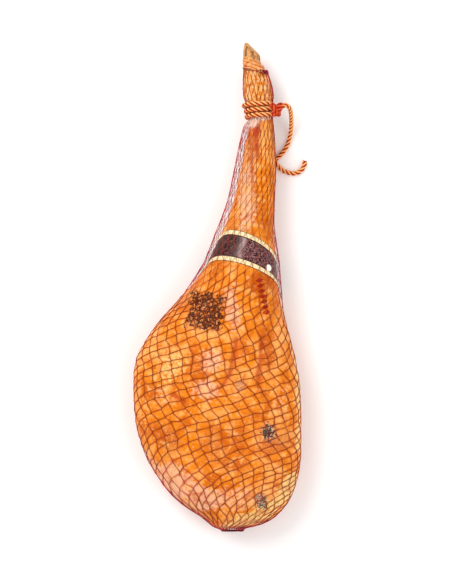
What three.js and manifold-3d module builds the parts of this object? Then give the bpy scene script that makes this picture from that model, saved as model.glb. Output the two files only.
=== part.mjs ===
// A dry-cured ham on the bone, lying on its flat side: the leg with its hoof, a knitted net drawn over
// it and tied at the rump, a band held by a press stud, and a rope tied round the ankle.
// Millimetres. +Z is up, +Y runs along the leg to the hoof, and +X is the shin side. The origin is in
// the middle of the footprint of leg and net, on the surface that they lie on.
import * as THREE from "three";
import { mergeVertices } from "three/addons/utils/BufferGeometryUtils.js";
import Module from "manifold-3d";

const wasm = await Module();
wasm.setup();

// ---- Leg ----
const legLength = 794; // hoof tip to the end of the rump
const legWidth = 273; // across the thigh
const legHeight = 134; // from the thigh's unflattened underside to its top
const flattening = 8.8; // how much of the underside the leg's own weight has pressed flat
const beltShare = 0.44; // height of the widest line of a section, as a share of the section
const topRoundness = 2.15; // a superellipse's exponent: 2 is an ellipse, more is squarer
const undersideRoundness = 2.5;
const cleftWidth = 3.5; // between the two claws of the hoof
const cleftDepth = 26;

// The outlines below are drawn at these sizes, and scaled to the ones above.
const drawn = { length: 794, width: 273, height: 157 };
const along = legLength / drawn.length;
const across = legWidth / drawn.width;
const upward = legHeight / drawn.height;

// ---- Net ----
const netGap = 1; // between the skin and the net's inside
const netWall = 1.2; // thickness of the knitted yarn
const collarAt = 357 * along; // where the net ends below the hoof
const netBridgeBack = 9.5; // how far the taut net stands off the hollow behind the shank
const netBridgeShin = 2.5; // and off the hollow over the knee
const netClearance = 0.7; // over the band
const netTieWidth = 40;
const netTieHeight = 13;
const netTieDepth = 3.6;

// ---- Band and its press stud ----
const bandWidth = 50;
const bandThickness = 0.5;
const bandGap = 0.7; // between the skin and the band
const layerGap = 0.3; // between pieces that touch
const bandAt = 38 * along; // middle of the band, along the leg
const bandSlant = 28; // how far the band's middle swings to either side of that as it goes round
const bandSlantAngle = 118; // degrees round the leg at which it is nearest the hoof
const lapStart = 26; // degrees round the leg at which the band's outer end stops
const lapLength = 40; // degrees by which the band's ends lap
const studAngle = 44; // degrees round the leg
const studAt = 31 * along; // along the leg
const capDiameter = 11.5;
const capHeight = 1.6;
const postDiameter = 4;
const socketDiameter = 10;
const socketHeight = 0.8;

// ---- Rope ----
const ropeDiameter = 8;
const ropeTurns = 3;
const ropeTurnGap = 0.2; // between neighbouring turns
const ropeGap = 0.5; // between the net and the turns
const ropeAt = 290 * along; // middle of the turns, at the leg's narrowest
const knotAngle = 50; // degrees round the leg
const knotWidth = 20;
const knotHeight = 18;
const knotGap = 1; // between the knot and the turns that it sits on

// Outlines of the leg as drawn: along the leg, then its two edges seen from above (back, shin) and its
// underside and top.
const outline = [
  [-394, 10, 32, 50, 66],
  [-391.5, -3, 50, 32, 78],
  [-385, -13, 75, 16, 93],
  [-373, -27, 96, 6, 107],
  [-352, -59, 115, 0, 121],
  [-322, -88, 128, -4, 133],
  [-280, -114, 136, -6, 142],
  [-230, -131.5, 136.5, -7, 148],
  [-170, -136.5, 135.5, -7, 150],
  [-115, -131, 127, -6, 147],
  [-60, -98, 112, -3, 140],
  [-10, -53, 101, 6, 129],
  [40, -15, 96, 15, 115],
  [90, 8, 92, 22, 101],
  [140, 27, 93, 26, 91],
  [190, 38, 95.5, 28, 84],
  [235, 47, 94, 28, 78],
  [265, 54, 92, 29, 74],
  [290, 52.5, 89, 29, 72],
  [315, 43.5, 91, 26, 74],
  [340, 43, 86, 26, 72],
  [357, 43.5, 79, 27, 70],
  [368, 42.5, 71, 29, 67],
  [380, 44, 67, 31, 63],
  [391, 46, 60, 36, 58],
  [400, 48.5, 51, 44.5, 49.5],
];

// The rope's free stretch: out of the knot, down to the surface beside the shank, round a small loop
// under the shank, over itself and out to its loose end.
const ropeRoute = [
  [107, 297, 72.4],
  [111.8, 298, 70.8],
  [116.2, 296, 65.8],
  [119, 291.8, 58],
  [120.5, 286.8, 49],
  [121.3, 281, 39.5],
  [121.8, 275, 29.5],
  [122, 268, 20],
  [121.7, 260, 12],
  [120.5, 251, 6.8],
  [118, 241.5, 4.3],
  [114.3, 232.5, 4.3],
  [109, 224.5, 4.3],
  [102.5, 217.5, 4.3],
  [95.5, 210.5, 4.3],
  [86, 200, 4.3],
  [77, 194.5, 4.3],
  [66, 195, 4.3],
  [57.5, 201.5, 4.3],
  [54.4, 212, 4.3],
  [57.7, 222, 4.3],
  [66, 228.7, 4.6],
  [76, 229.5, 6],
  [83, 226.3, 8.5],
  [88.5, 220.5, 11],
  [93, 213.3, 12.8],
  [97, 206.5, 12.4],
  [101.5, 200.5, 9.6],
  [107.5, 195.3, 6.4],
  [115, 191.8, 4.6],
  [124, 189.8, 4.3],
  [132.5, 190.6, 4.3],
  [139.5, 195.2, 4.3],
  [143.5, 202.5, 4.3],
  [145.5, 210, 4.3],
];

const around = 40; // corners of a section of the leg and of the net
const ringsPerStation = 2;
const radians = THREE.MathUtils.degToRad;

const plan = spline(([y, back, shin]) => new THREE.Vector3(back * across, y * along, shin * across));
const side = spline(([y, , , under, top]) => new THREE.Vector3(under * upward, y * along, top * upward));
const restLevel = netGap + netWall; // the leg's flat underside, above the net that it lies on
const dropToRest = flattening + outline[8][3] * upward - restLevel;

function spline(pick) {
  return new THREE.CatmullRomCurve3(outline.map(pick), false, "catmullrom", 0.5);
}

// Share of the outline's stations at which the leg reaches y.
function shareAt(y) {
  let low = 0;
  let high = 1;
  for (let step = 0; step < 40; step += 1) {
    const middle = (low + high) / 2;
    if (plan.getPoint(middle).y < y) {
      low = middle;
    } else {
      high = middle;
    }
  }
  return (low + high) / 2;
}

// A point of the skin before the underside is flattened. The angle runs from the shin side (0) over
// the top (a quarter turn) to the back and then the underside.
function roundPoint(share, angle) {
  const edges = plan.getPoint(share);
  const levels = side.getPoint(share);
  const belt = THREE.MathUtils.lerp(levels.x, levels.z, beltShare);
  const overhead = Math.sin(angle) > 0;
  const power = 2 / (overhead ? topRoundness : undersideRoundness);
  const sideways = Math.sign(Math.cos(angle)) * Math.abs(Math.cos(angle)) ** power;
  const upwards = Math.abs(Math.sin(angle)) ** power;
  const x = (edges.x + edges.z) / 2 + ((edges.z - edges.x) / 2) * sideways;
  const z = belt + (overhead ? (levels.z - belt) * upwards : (levels.x - belt) * upwards);
  return new THREE.Vector3(x, edges.y, z - dropToRest);
}

function outwardAt(share, angle) {
  const step = 0.002;
  const before = Math.max(share - step, 0);
  const after = Math.min(share + step, 1);
  const lengthwise = roundPoint(after, angle).sub(roundPoint(before, angle));
  const roundwise = roundPoint(share, angle + step).sub(roundPoint(share, angle - step));
  return lengthwise.cross(roundwise).normalize();
}

// A point at a distance outside the skin, no lower than the level given.
function offsetPoint(share, angle, distance, level) {
  const point = roundPoint(share, angle).addScaledVector(outwardAt(share, angle), distance);
  point.z = Math.max(point.z, level);
  return point;
}

// Rises from 0 to 1 over the first pair of values and falls back over the second.
function hump(value, riseFrom, riseTo, fallFrom, fallTo) {
  const { smoothstep } = THREE.MathUtils;
  return smoothstep(value, riseFrom, riseTo) * (1 - smoothstep(value, fallFrom, fallTo));
}

// A closed body through sections of equal corner counts, as a bar with flat ends or as a closed ring.
// Each patch is split along its shorter diagonal, so that nested skins are split alike.
function loft(sections, isRing) {
  const corners = sections[0].length;
  const vertices = sections.flat();
  const faces = [];
  const last = sections.length - 1;
  for (let row = 0; row < (isRing ? sections.length : last); row += 1) {
    const next = (row + 1) % sections.length;
    for (let corner = 0; corner < corners; corner += 1) {
      const beside = (corner + 1) % corners;
      const [a, b] = [row * corners + corner, row * corners + beside];
      const [c, d] = [next * corners + beside, next * corners + corner];
      const cutHere = vertices[a].distanceTo(vertices[c]) < vertices[b].distanceTo(vertices[d]);
      faces.push(...(cutHere ? [a, c, b, a, d, c] : [a, d, b, b, d, c]));
    }
  }
  if (!isRing) {
    const middle = (section) => section.reduce((sum, p) => sum.add(p), new THREE.Vector3());
    vertices.push(middle(sections[0]).divideScalar(corners));
    vertices.push(middle(sections[last]).divideScalar(corners));
    for (let corner = 0; corner < corners; corner += 1) {
      const beside = (corner + 1) % corners;
      faces.push(vertices.length - 2, corner, beside);
      faces.push(vertices.length - 1, last * corners + beside, last * corners + corner);
    }
  }
  const geometry = new THREE.BufferGeometry().setFromPoints(vertices);
  geometry.setIndex(faces);
  return geometry;
}

function toSolid(geometry) {
  const bare = geometry.clone();
  bare.deleteAttribute("normal");
  bare.deleteAttribute("uv");
  const merged = mergeVertices(bare, 1e-4);
  const mesh = new wasm.Mesh({
    numProp: 3,
    vertProperties: new Float32Array(merged.attributes.position.array),
    triVerts: new Uint32Array(merged.index.array),
  });
  return new wasm.Manifold(mesh);
}

function toGeometry(solid) {
  const { vertProperties, triVerts } = solid.getMesh();
  const geometry = new THREE.BufferGeometry();
  geometry.setAttribute("position", new THREE.BufferAttribute(vertProperties, 3));
  geometry.setIndex(new THREE.BufferAttribute(triVerts, 1));
  return geometry;
}

function named(name, geometry, colour, roughness) {
  geometry.computeVertexNormals();
  const material = new THREE.MeshStandardMaterial({ color: colour, roughness, metalness: 0 });
  const mesh = new THREE.Mesh(geometry, material);
  mesh.name = name;
  return mesh;
}

// Shares of the outline from its start to an end, a fixed number to each station.
function sharesUpTo(end) {
  const step = 1 / ((outline.length - 1) * ringsPerStation);
  const shares = [];
  for (let share = 0; share < end - step / 2; share += step) {
    shares.push(share);
  }
  shares.push(end);
  return shares;
}

function ring(share, pointAt) {
  return Array.from({ length: around }, (_, corner) => pointAt(share, (corner * 2 * Math.PI) / around));
}

function makeLeg() {
  const skin = (share, angle) => offsetPoint(share, angle, 0, restLevel);
  const body = toSolid(loft(sharesUpTo(1).map((share) => ring(share, skin)), false));
  const tip = roundPoint(1, 0);
  const cleft = new THREE.CylinderGeometry(cleftDepth, cleftDepth, cleftWidth, 32);
  cleft.rotateX(Math.PI / 2);
  cleft.translate(tip.x, tip.y, tip.z);
  return named("ham_leg", toGeometry(body.subtract(toSolid(cleft))), 0xd88a3e, 0.5);
}

// Middle of the band along the leg, at an angle round it.
function bandMiddle(angle) {
  return bandAt + bandSlant * Math.cos(angle - radians(bandSlantAngle));
}

const studShare = shareAt(studAt);
const studFoot = roundPoint(studShare, radians(studAngle));
const studOutward = outwardAt(studShare, radians(studAngle));
const socketLift = socketHeight + layerGap * 2 + 0.2;

// How far a layer is raised by the stud's socket beneath it: fully over the socket and a margin round
// it, and then less and less over the slope.
function liftNearStud(point, margin, slope) {
  const full = socketDiameter / 2 + margin;
  return socketLift * (1 - THREE.MathUtils.smoothstep(point.distanceTo(studFoot), full, full + slope));
}

const lapRise = bandThickness + layerGap;
const bandTop = bandGap + bandThickness + lapRise;

// Where the net's inside lies: on the skin, over the band, or straight across a hollow.
function netPoint(share, angle, extra, level) {
  const foot = roundPoint(share, angle);
  const fromMiddle = Math.abs(foot.y - bandMiddle(angle));
  const overBand = 1 - THREE.MathUtils.smoothstep(fromMiddle, bandWidth / 2 + 6, bandWidth / 2 + 22);
  const raised = (bandTop + netClearance - netGap) * overBand + liftNearStud(foot, 14 * along, 26 * along);
  const point = offsetPoint(share, angle, netGap + raised + extra, level);
  const facing = Math.cos(angle);
  const place = foot.y / along;
  const shank = hump(place, -30, 120, 266, 277);
  const knee = hump(place, -70, 20, 60, 120);
  const back = netBridgeBack * shank * Math.max(-facing, 0);
  const shin = netBridgeShin * knee * Math.max(facing, 0);
  point.x += shin - back;
  return point;
}

function standingAt(geometry, distance) {
  const turn = new THREE.Quaternion().setFromUnitVectors(new THREE.Vector3(0, 1, 0), studOutward);
  geometry.applyQuaternion(turn);
  const place = studFoot.clone().addScaledVector(studOutward, distance);
  geometry.translate(place.x, place.y, place.z);
  return geometry;
}

function makeNet() {
  const shares = sharesUpTo(shareAt(collarAt));
  const outside = (share, angle) => netPoint(share, angle, netWall, 0);
  const inside = (share, angle) => netPoint(share, angle, 0, netWall);
  const outer = shares.map((share) => ring(share, outside));
  const inner = shares.map((share) => ring(share, inside)).reverse();
  const hole = new THREE.CylinderGeometry(capDiameter / 2 + 1, capDiameter / 2 + 1, 24, 24);
  const sleeve = toSolid(loft([...outer, ...inner], false)).subtract(toSolid(standingAt(hole, 12)));
  return named("net_sleeve", toGeometry(sleeve), 0xa92a24, 0.8);
}

function makeNetTie() {
  const rump = roundPoint(0, 0);
  const far = roundPoint(0, Math.PI);
  const tie = new THREE.SphereGeometry(1, 20, 12);
  tie.scale(netTieWidth / 2, netTieDepth / 2, netTieHeight / 2);
  const behind = netGap + netWall + layerGap + netTieDepth / 2;
  tie.translate((rump.x + far.x) / 2, rump.y - behind, rump.z);
  return named("net_tie", tie, 0x7d1d1a, 0.8);
}

// A flat strip's section: its outer face from edge to edge, then its inner face back.
function stripSection(middle, angle, distance, width, thickness, columns) {
  const side = (height) =>
    Array.from({ length: columns }, (_, column) => {
      const share = shareAt(middle + width * (column / (columns - 1) - 0.5));
      const lift = liftNearStud(roundPoint(share, angle), 2, 14);
      return offsetPoint(share, angle, distance + lift + height, 0);
    });
  return [...side(thickness), ...side(0).reverse()];
}

function makeBand() {
  const step = 5;
  const whole = 360 + lapLength;
  const sections = [];
  for (let turned = 0; turned <= whole; turned += step) {
    const angle = radians(lapStart + lapLength - turned);
    const rise = lapRise * THREE.MathUtils.smoothstep(turned, 360 - lapLength, 358 - lapLength / 4);
    sections.push(stripSection(bandMiddle(angle), angle, bandGap + rise, bandWidth, bandThickness, 5));
  }
  const postHole = new THREE.CylinderGeometry(postDiameter / 2 + 0.3, postDiameter / 2 + 0.3, 20, 20);
  const strip = toSolid(loft(sections, false)).subtract(toSolid(standingAt(postHole, 0)));
  return named("band_strip", toGeometry(strip), 0x4a1f1f, 0.4);
}

function makeStudCap() {
  const underside = bandTop + socketLift + layerGap;
  const postLength = underside - layerGap * 2;
  const radius = capDiameter / 2;
  const profile = [
    [0, -postLength],
    [postDiameter / 2, -postLength],
    [postDiameter / 2, 0],
    [radius, 0],
    [radius, capHeight * 0.4],
    [radius * 0.8, capHeight * 0.85],
    [radius * 0.4, capHeight],
    [0, capHeight],
  ].map(([x, y]) => new THREE.Vector2(x, y));
  return named("stud_cap", standingAt(new THREE.LatheGeometry(profile, 28), underside), 0xf2efe6, 0.3);
}

function makeStudSocket() {
  const inner = postDiameter / 2 + layerGap;
  const outer = socketDiameter / 2;
  const profile = [
    [inner, 0],
    [outer, 0],
    [outer, socketHeight],
    [inner, socketHeight],
    [inner, 0],
  ].map(([x, y]) => new THREE.Vector2(x, y));
  return named("stud_socket", standingAt(new THREE.LatheGeometry(profile, 28), layerGap), 0xf2efe6, 0.3);
}

const turnsWidth = ropeTurns * ropeDiameter + (ropeTurns - 1) * ropeTurnGap;
const turnsInside = netGap + netWall + ropeGap;

function makeRopeTurns() {
  const rounding = ropeDiameter * 0.3;
  const half = turnsWidth / 2;
  const corners = [
    [-half, rounding],
    [-half + rounding, 0],
    [half - rounding, 0],
    [half, rounding],
    [half, ropeDiameter - rounding],
    [half - rounding, ropeDiameter],
    [-half + rounding, ropeDiameter],
    [-half, ropeDiameter - rounding],
  ];
  const sections = Array.from({ length: around }, (_, index) => {
    const angle = (index * 2 * Math.PI) / around;
    return corners.map(([shift, height]) => {
      const share = shareAt(ropeAt + shift);
      return offsetPoint(share, angle, turnsInside + height, 0);
    });
  });
  return named("rope_turns", loft(sections, true), 0xd98a5c, 0.85);
}

function makeKnot() {
  const angle = radians(knotAngle);
  const share = shareAt(ropeAt);
  const distance = turnsInside + ropeDiameter + knotGap + knotHeight / 2;
  const knot = new THREE.IcosahedronGeometry(1, 5);
  knot.scale(knotWidth / 2, knotHeight / 2, knotWidth / 2);
  const outward = outwardAt(share, angle);
  knot.applyQuaternion(new THREE.Quaternion().setFromUnitVectors(new THREE.Vector3(0, 1, 0), outward));
  const place = roundPoint(share, angle).addScaledVector(outward, distance);
  knot.translate(place.x, place.y, place.z);
  return named("rope_knot", knot, 0xc4472f, 0.85);
}

function makeRopeTail() {
  const route = new THREE.CatmullRomCurve3(ropeRoute.map((point) => new THREE.Vector3(...point)));
  const section = new THREE.Shape();
  const sides = 8;
  for (let side = 0; side < sides; side += 1) {
    const angle = (side * 2 * Math.PI) / sides;
    section.lineTo((Math.cos(angle) * ropeDiameter) / 2, (Math.sin(angle) * ropeDiameter) / 2);
  }
  const steps = Math.round(route.getLength() / (ropeDiameter * 0.8));
  const tube = new THREE.ExtrudeGeometry(section, { steps, extrudePath: route });
  return named("rope_tail", tube, 0xd98a5c, 0.85);
}

const ham = new THREE.Group();
ham.add(makeLeg(), makeNet(), makeNetTie());
ham.add(makeBand(), makeStudCap(), makeStudSocket());
ham.add(makeRopeTurns(), makeKnot(), makeRopeTail());

export default ham;
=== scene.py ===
"""A dry-cured ham on the bone in its knitted net, with a printed band and a rope round the ankle.

The ham lies on its flat side with the hoof toward +Y, and the camera looks straight down on it.
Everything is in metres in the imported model's frame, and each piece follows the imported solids.
"""

import logging
import math
from collections.abc import Iterable
from dataclasses import dataclass, field, fields
from enum import Enum

import bpy
import numpy as np
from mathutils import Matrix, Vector, kdtree, noise
from mathutils.bvhtree import BVHTree

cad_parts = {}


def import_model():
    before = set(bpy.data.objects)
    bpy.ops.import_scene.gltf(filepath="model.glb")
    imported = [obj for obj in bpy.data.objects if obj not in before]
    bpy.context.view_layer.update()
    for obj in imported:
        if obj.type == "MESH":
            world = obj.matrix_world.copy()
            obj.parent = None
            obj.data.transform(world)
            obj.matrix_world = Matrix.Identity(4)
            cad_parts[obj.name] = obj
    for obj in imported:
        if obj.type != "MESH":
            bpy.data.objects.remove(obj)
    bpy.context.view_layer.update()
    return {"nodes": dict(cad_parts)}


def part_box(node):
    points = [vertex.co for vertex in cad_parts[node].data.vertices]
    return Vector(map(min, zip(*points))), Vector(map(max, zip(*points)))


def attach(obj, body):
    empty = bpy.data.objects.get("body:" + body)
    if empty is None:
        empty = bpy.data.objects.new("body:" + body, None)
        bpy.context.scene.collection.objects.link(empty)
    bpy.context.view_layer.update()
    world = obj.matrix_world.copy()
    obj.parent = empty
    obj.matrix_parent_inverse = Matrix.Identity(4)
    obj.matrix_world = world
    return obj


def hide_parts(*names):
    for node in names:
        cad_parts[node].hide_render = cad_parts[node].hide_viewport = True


LOG = logging.getLogger("ham")
MM = 0.001

# Where the pieces lie, as the solids were drawn, in millimetres.
BAND_AT, BAND_SLANT, BAND_SLANT_ANGLE = 38.0, 28.0, 118.0
BAND_WIDTH, BAND_THICKNESS = 50.0, 0.5
LAP_START, LAP_LENGTH = 26.0, 40.0
COLLAR_AT = 357.0
ROPE_AT, ROPE_DIAMETER, ROPE_TURNS, TURN_PITCH = 290.0, 8.0, 3, 8.2
# The rope's free stretch: out of the knot, down to the surface beside the shank, round a small loop
# under the shank, over itself and out to its loose end.
ROPE_ROUTE = [
    (107, 297, 72.4), (111.8, 298, 70.8), (116.2, 296, 65.8), (119, 291.8, 58),
    (120.5, 286.8, 49), (121.3, 281, 39.5), (121.8, 275, 29.5), (122, 268, 20),
    (121.7, 260, 12), (120.5, 251, 6.8), (118, 241.5, 4.3), (114.3, 232.5, 4.3),
    (109, 224.5, 4.3), (102.5, 217.5, 4.3), (95.5, 210.5, 4.3), (86, 200, 4.3),
    (77, 194.5, 4.3), (66, 195, 4.3), (57.5, 201.5, 4.3), (54.4, 212, 4.3),
    (57.7, 222, 4.3), (66, 228.7, 4.6), (76, 229.5, 6), (83, 226.3, 8.5),
    (88.5, 220.5, 11), (93, 213.3, 12.8), (97, 206.5, 12.4), (101.5, 200.5, 9.6),
    (107.5, 195.3, 6.4), (115, 191.8, 4.6), (124, 189.8, 4.3), (132.5, 190.6, 4.3),
    (139.5, 195.2, 4.3), (143.5, 202.5, 4.3), (145.5, 210, 4.3),
]

TURN = 2 * math.pi

Colour = tuple[float, float, float, float]
Value = bpy.types.NodeSocket | float | tuple[float, ...]

# ---------------------------------------------------------------- small helpers


def to_linear(colour: str) -> Colour:
    """Turns an sRGB hex colour into linear red, green, blue and alpha.

    Args:
        colour: Six hex digits after a hash.

    Returns:
        The colour as a shader socket takes it.
    """
    shares = [int(colour[i : i + 2], 16) / 255 for i in (1, 3, 5)]
    linear = [s / 12.92 if s <= 0.04045 else ((s + 0.055) / 1.055) ** 2.4 for s in shares]
    return (*linear, 1.0)


def add_node(tree: bpy.types.NodeTree, kind: str, settings: dict[str, str], inputs: dict[str | int, Value],
             output: str | int = 0) -> bpy.types.NodeSocket:
    """Adds a shader node with its settings, values and links.

    Args:
        tree: The node tree.
        kind: The node's class name, less its "ShaderNode" start.
        settings: Property names and their values.
        inputs: Input names or numbers, each with a value or the output socket to link.
        output: The name or number of the output that is wanted.

    Returns:
        That output.
    """
    made = tree.nodes.new("ShaderNode" + kind)
    for name, value in settings.items():
        setattr(made, name, value)
    for name, value in inputs.items():
        if isinstance(value, bpy.types.NodeSocket):
            tree.links.new(value, made.inputs[name])
        else:
            made.inputs[name].default_value = value
    return made.outputs[output]


def new_piece(name: str, vertices: np.ndarray, faces: np.ndarray, smooth: bool = True) -> bpy.types.Object:
    """Makes a mesh object from arrays and links it into the scene.

    Args:
        name: The piece's name.
        vertices: Points in metres, one row each.
        faces: Corner numbers, four to a row.
        smooth: Whether its faces are shaded smooth.

    Returns:
        The new object.
    """
    mesh = bpy.data.meshes.new(name)
    mesh.from_pydata(np.asarray(vertices, float).tolist(), [], np.asarray(faces).tolist())
    mesh.validate()
    if smooth:
        mesh.shade_smooth()
    made = bpy.data.objects.new(name, mesh)
    bpy.context.scene.collection.objects.link(made)
    return made


def store(piece: bpy.types.Object, name: str, values: np.ndarray) -> None:
    """Keeps one number per vertex on the mesh, for a material to read.

    Args:
        piece: The mesh object.
        name: The attribute's name.
        values: One number per vertex.
    """
    layer = piece.data.attributes.new(name, "FLOAT", "POINT")
    layer.data.foreach_set("value", np.asarray(values, np.float32))


def smoothstep(value: np.ndarray, low: float, high: float) -> np.ndarray:
    """Rises smoothly from 0 at low to 1 at high, or falls if high is below low."""
    share = np.clip((value - low) / (high - low), 0, 1)
    return share * share * (3 - 2 * share)


def cloudy(points: np.ndarray, size_mm: float, seed: float = 0.0) -> np.ndarray:
    """Smooth lumpy noise.

    Args:
        points: Points in millimetres.
        size_mm: The size of its lumps.
        seed: Which noise it is.

    Returns:
        A number for each point, from about -1 to 1.
    """
    shift = Vector((seed * 17.3, seed * 5.1, seed * 9.7))
    scaled = points / size_mm
    return np.array([noise.noise(Vector(p) + shift) for p in scaled.tolist()])


def coordinates(piece: bpy.types.Object) -> np.ndarray:
    """Reads where a mesh's vertices are.

    Args:
        piece: The mesh object.

    Returns:
        Its vertices, in millimetres.
    """
    found = np.empty(len(piece.data.vertices) * 3, np.float32)
    piece.data.vertices.foreach_get("co", found)
    return found.reshape(-1, 3).astype(float) / MM


def set_coordinates(piece: bpy.types.Object, points: np.ndarray) -> None:
    """Moves the mesh's vertices to points in millimetres."""
    piece.data.vertices.foreach_set("co", (points * MM).astype(np.float32).ravel())
    piece.data.update()


def normals(piece: bpy.types.Object) -> np.ndarray:
    """Reads which way a mesh faces at its vertices.

    Args:
        piece: The mesh object.

    Returns:
        Its vertex normals.
    """
    found = np.empty(len(piece.data.vertices) * 3, np.float32)
    piece.data.vertex_normals.foreach_get("vector", found)
    return found.reshape(-1, 3).astype(float)


def smooth_path(points: np.ndarray, spacing: float) -> np.ndarray:
    """A Catmull-Rom curve through points, with even steps.

    Args:
        points: The points it goes through, in millimetres.
        spacing: The step along it, in millimetres.

    Returns:
        Points along the curve.
    """
    padded = np.vstack([2 * points[0] - points[1], points, 2 * points[-1] - points[-2]])
    share = np.linspace(0, 1, 16, endpoint=False)[:, None]
    dense = []
    for a, b, c, d in zip(padded, padded[1:], padded[2:], padded[3:]):
        dense.append(
            0.5 * (2 * b + (c - a) * share + (2 * a - 5 * b + 4 * c - d) * share**2
                   + (3 * b - a - 3 * c + d) * share**3)
        )
    return even_steps(np.vstack([*dense, points[-1:]]), spacing)


def even_steps(points: np.ndarray, spacing: float) -> np.ndarray:
    """Spaces a line's points evenly.

    Args:
        points: The line.
        spacing: About how far apart the new points are.

    Returns:
        The same line with points at even steps along it.
    """
    lengths = np.r_[0, np.cumsum(np.linalg.norm(np.diff(points, axis=0), axis=1))]
    count = max(int(round(lengths[-1] / spacing)), 2)
    wanted = np.linspace(0, lengths[-1], count + 1)
    return np.stack([np.interp(wanted, lengths, points[:, k]) for k in range(3)], axis=1)


def line_length(points: np.ndarray) -> float:
    """The length of a line through points."""
    return float(np.linalg.norm(np.diff(points, axis=0), axis=1).sum())


def frames_along(points: np.ndarray, upright: np.ndarray | None = None) -> tuple[np.ndarray, ...]:
    """Tangents and two cross directions along a line.

    Args:
        points: The line.
        upright: A direction for each point that the first cross direction keeps to. Without it the
            frame is carried along the line with no twist.

    Returns:
        The tangents, first cross directions and second cross directions.
    """
    ahead = np.gradient(points, axis=0)
    ahead /= np.linalg.norm(ahead, axis=1, keepdims=True) + 1e-12
    if upright is None:
        first = np.zeros_like(points)
        start = np.array([0.0, 0.0, 1.0]) if abs(ahead[0][2]) < 0.9 else np.array([1.0, 0.0, 0.0])
        last = start
        for k, t in enumerate(ahead):
            last = last - t * last.dot(t)
            last = last / (np.linalg.norm(last) + 1e-12)
            first[k] = last
    else:
        first = upright - ahead * (upright * ahead).sum(1, keepdims=True)
        first /= np.linalg.norm(first, axis=1, keepdims=True) + 1e-12
    return ahead, first, np.cross(ahead, first)


def tube(points: np.ndarray, radii: np.ndarray, sides: int, upright: np.ndarray | None = None,
         squash: float = 1.0) -> tuple[np.ndarray, np.ndarray]:
    """The corners and faces of a capped tube along a line.

    Args:
        points: The line, in millimetres.
        radii: The tube's radius at each point.
        sides: How many sides it has, an even number.
        upright: As in frames_along.
        squash: The height of its section over its width.

    Returns:
        Vertices in millimetres and four-cornered faces.
    """
    _, first, second = frames_along(points, upright)
    angle = np.arange(sides) * TURN / sides
    ring = (np.cos(angle)[None, :, None] * first[:, None] * squash
            + np.sin(angle)[None, :, None] * second[:, None])
    vertices = (points[:, None] + ring * np.asarray(radii)[:, None, None]).reshape(-1, 3)
    row = np.arange(len(points) - 1)[:, None] * sides
    here = np.arange(sides)[None]
    beside = (here + 1) % sides
    faces = np.stack([row + here, row + beside, row + sides + beside, row + sides + here], axis=2)
    last = (len(points) - 1) * sides
    fans = [(0, k, k + 1, k + 2) for k in range(1, sides - 2, 2)]
    caps = [[base + k for k in fan[::order]] for base, order in ((0, -1), (last, 1)) for fan in fans]
    return vertices, np.vstack([faces.reshape(-1, 4), np.array(caps)])


def joined(parts: list[tuple[np.ndarray, np.ndarray]]) -> tuple[np.ndarray, np.ndarray]:
    """Joins meshes.

    Args:
        parts: Each mesh's vertices and faces.

    Returns:
        Their vertices and faces as one mesh.
    """
    offsets = np.cumsum([0] + [len(v) for v, _ in parts[:-1]])
    return (np.vstack([v for v, _ in parts]),
            np.vstack([f + offset for (_, f), offset in zip(parts, offsets)]))


def box_mm(node: str) -> tuple[np.ndarray, np.ndarray]:
    """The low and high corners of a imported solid, in millimetres."""
    low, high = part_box(node)
    return np.array(low) / MM, np.array(high) / MM


def dress(piece: bpy.types.Object, finish: "Finish", slot: str, *nodes: str) -> None:
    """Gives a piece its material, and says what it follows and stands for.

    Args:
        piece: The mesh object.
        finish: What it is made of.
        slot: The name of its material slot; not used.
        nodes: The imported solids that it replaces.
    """
    piece.data.materials.append(finish.make())
    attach(piece, "root")
    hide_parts(*nodes)


# ---------------------------------------------------------------- finishes

EASED = {"interpolation_type": "SMOOTHSTEP"}
MIXED = {"data_type": "RGBA"}
DARKENED = {"data_type": "RGBA", "blend_type": "MULTIPLY"}
TIMES, PLUS, LESS = ({"operation": name} for name in ("MULTIPLY", "ADD", "SUBTRACT"))
SIZE_OF, LARGER, TO_AND_FRO = ({"operation": name} for name in ("ABSOLUTE", "MAXIMUM", "PINGPONG"))

Place = bpy.types.NodeSocket
Levels = tuple[float, float, float, float]


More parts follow.
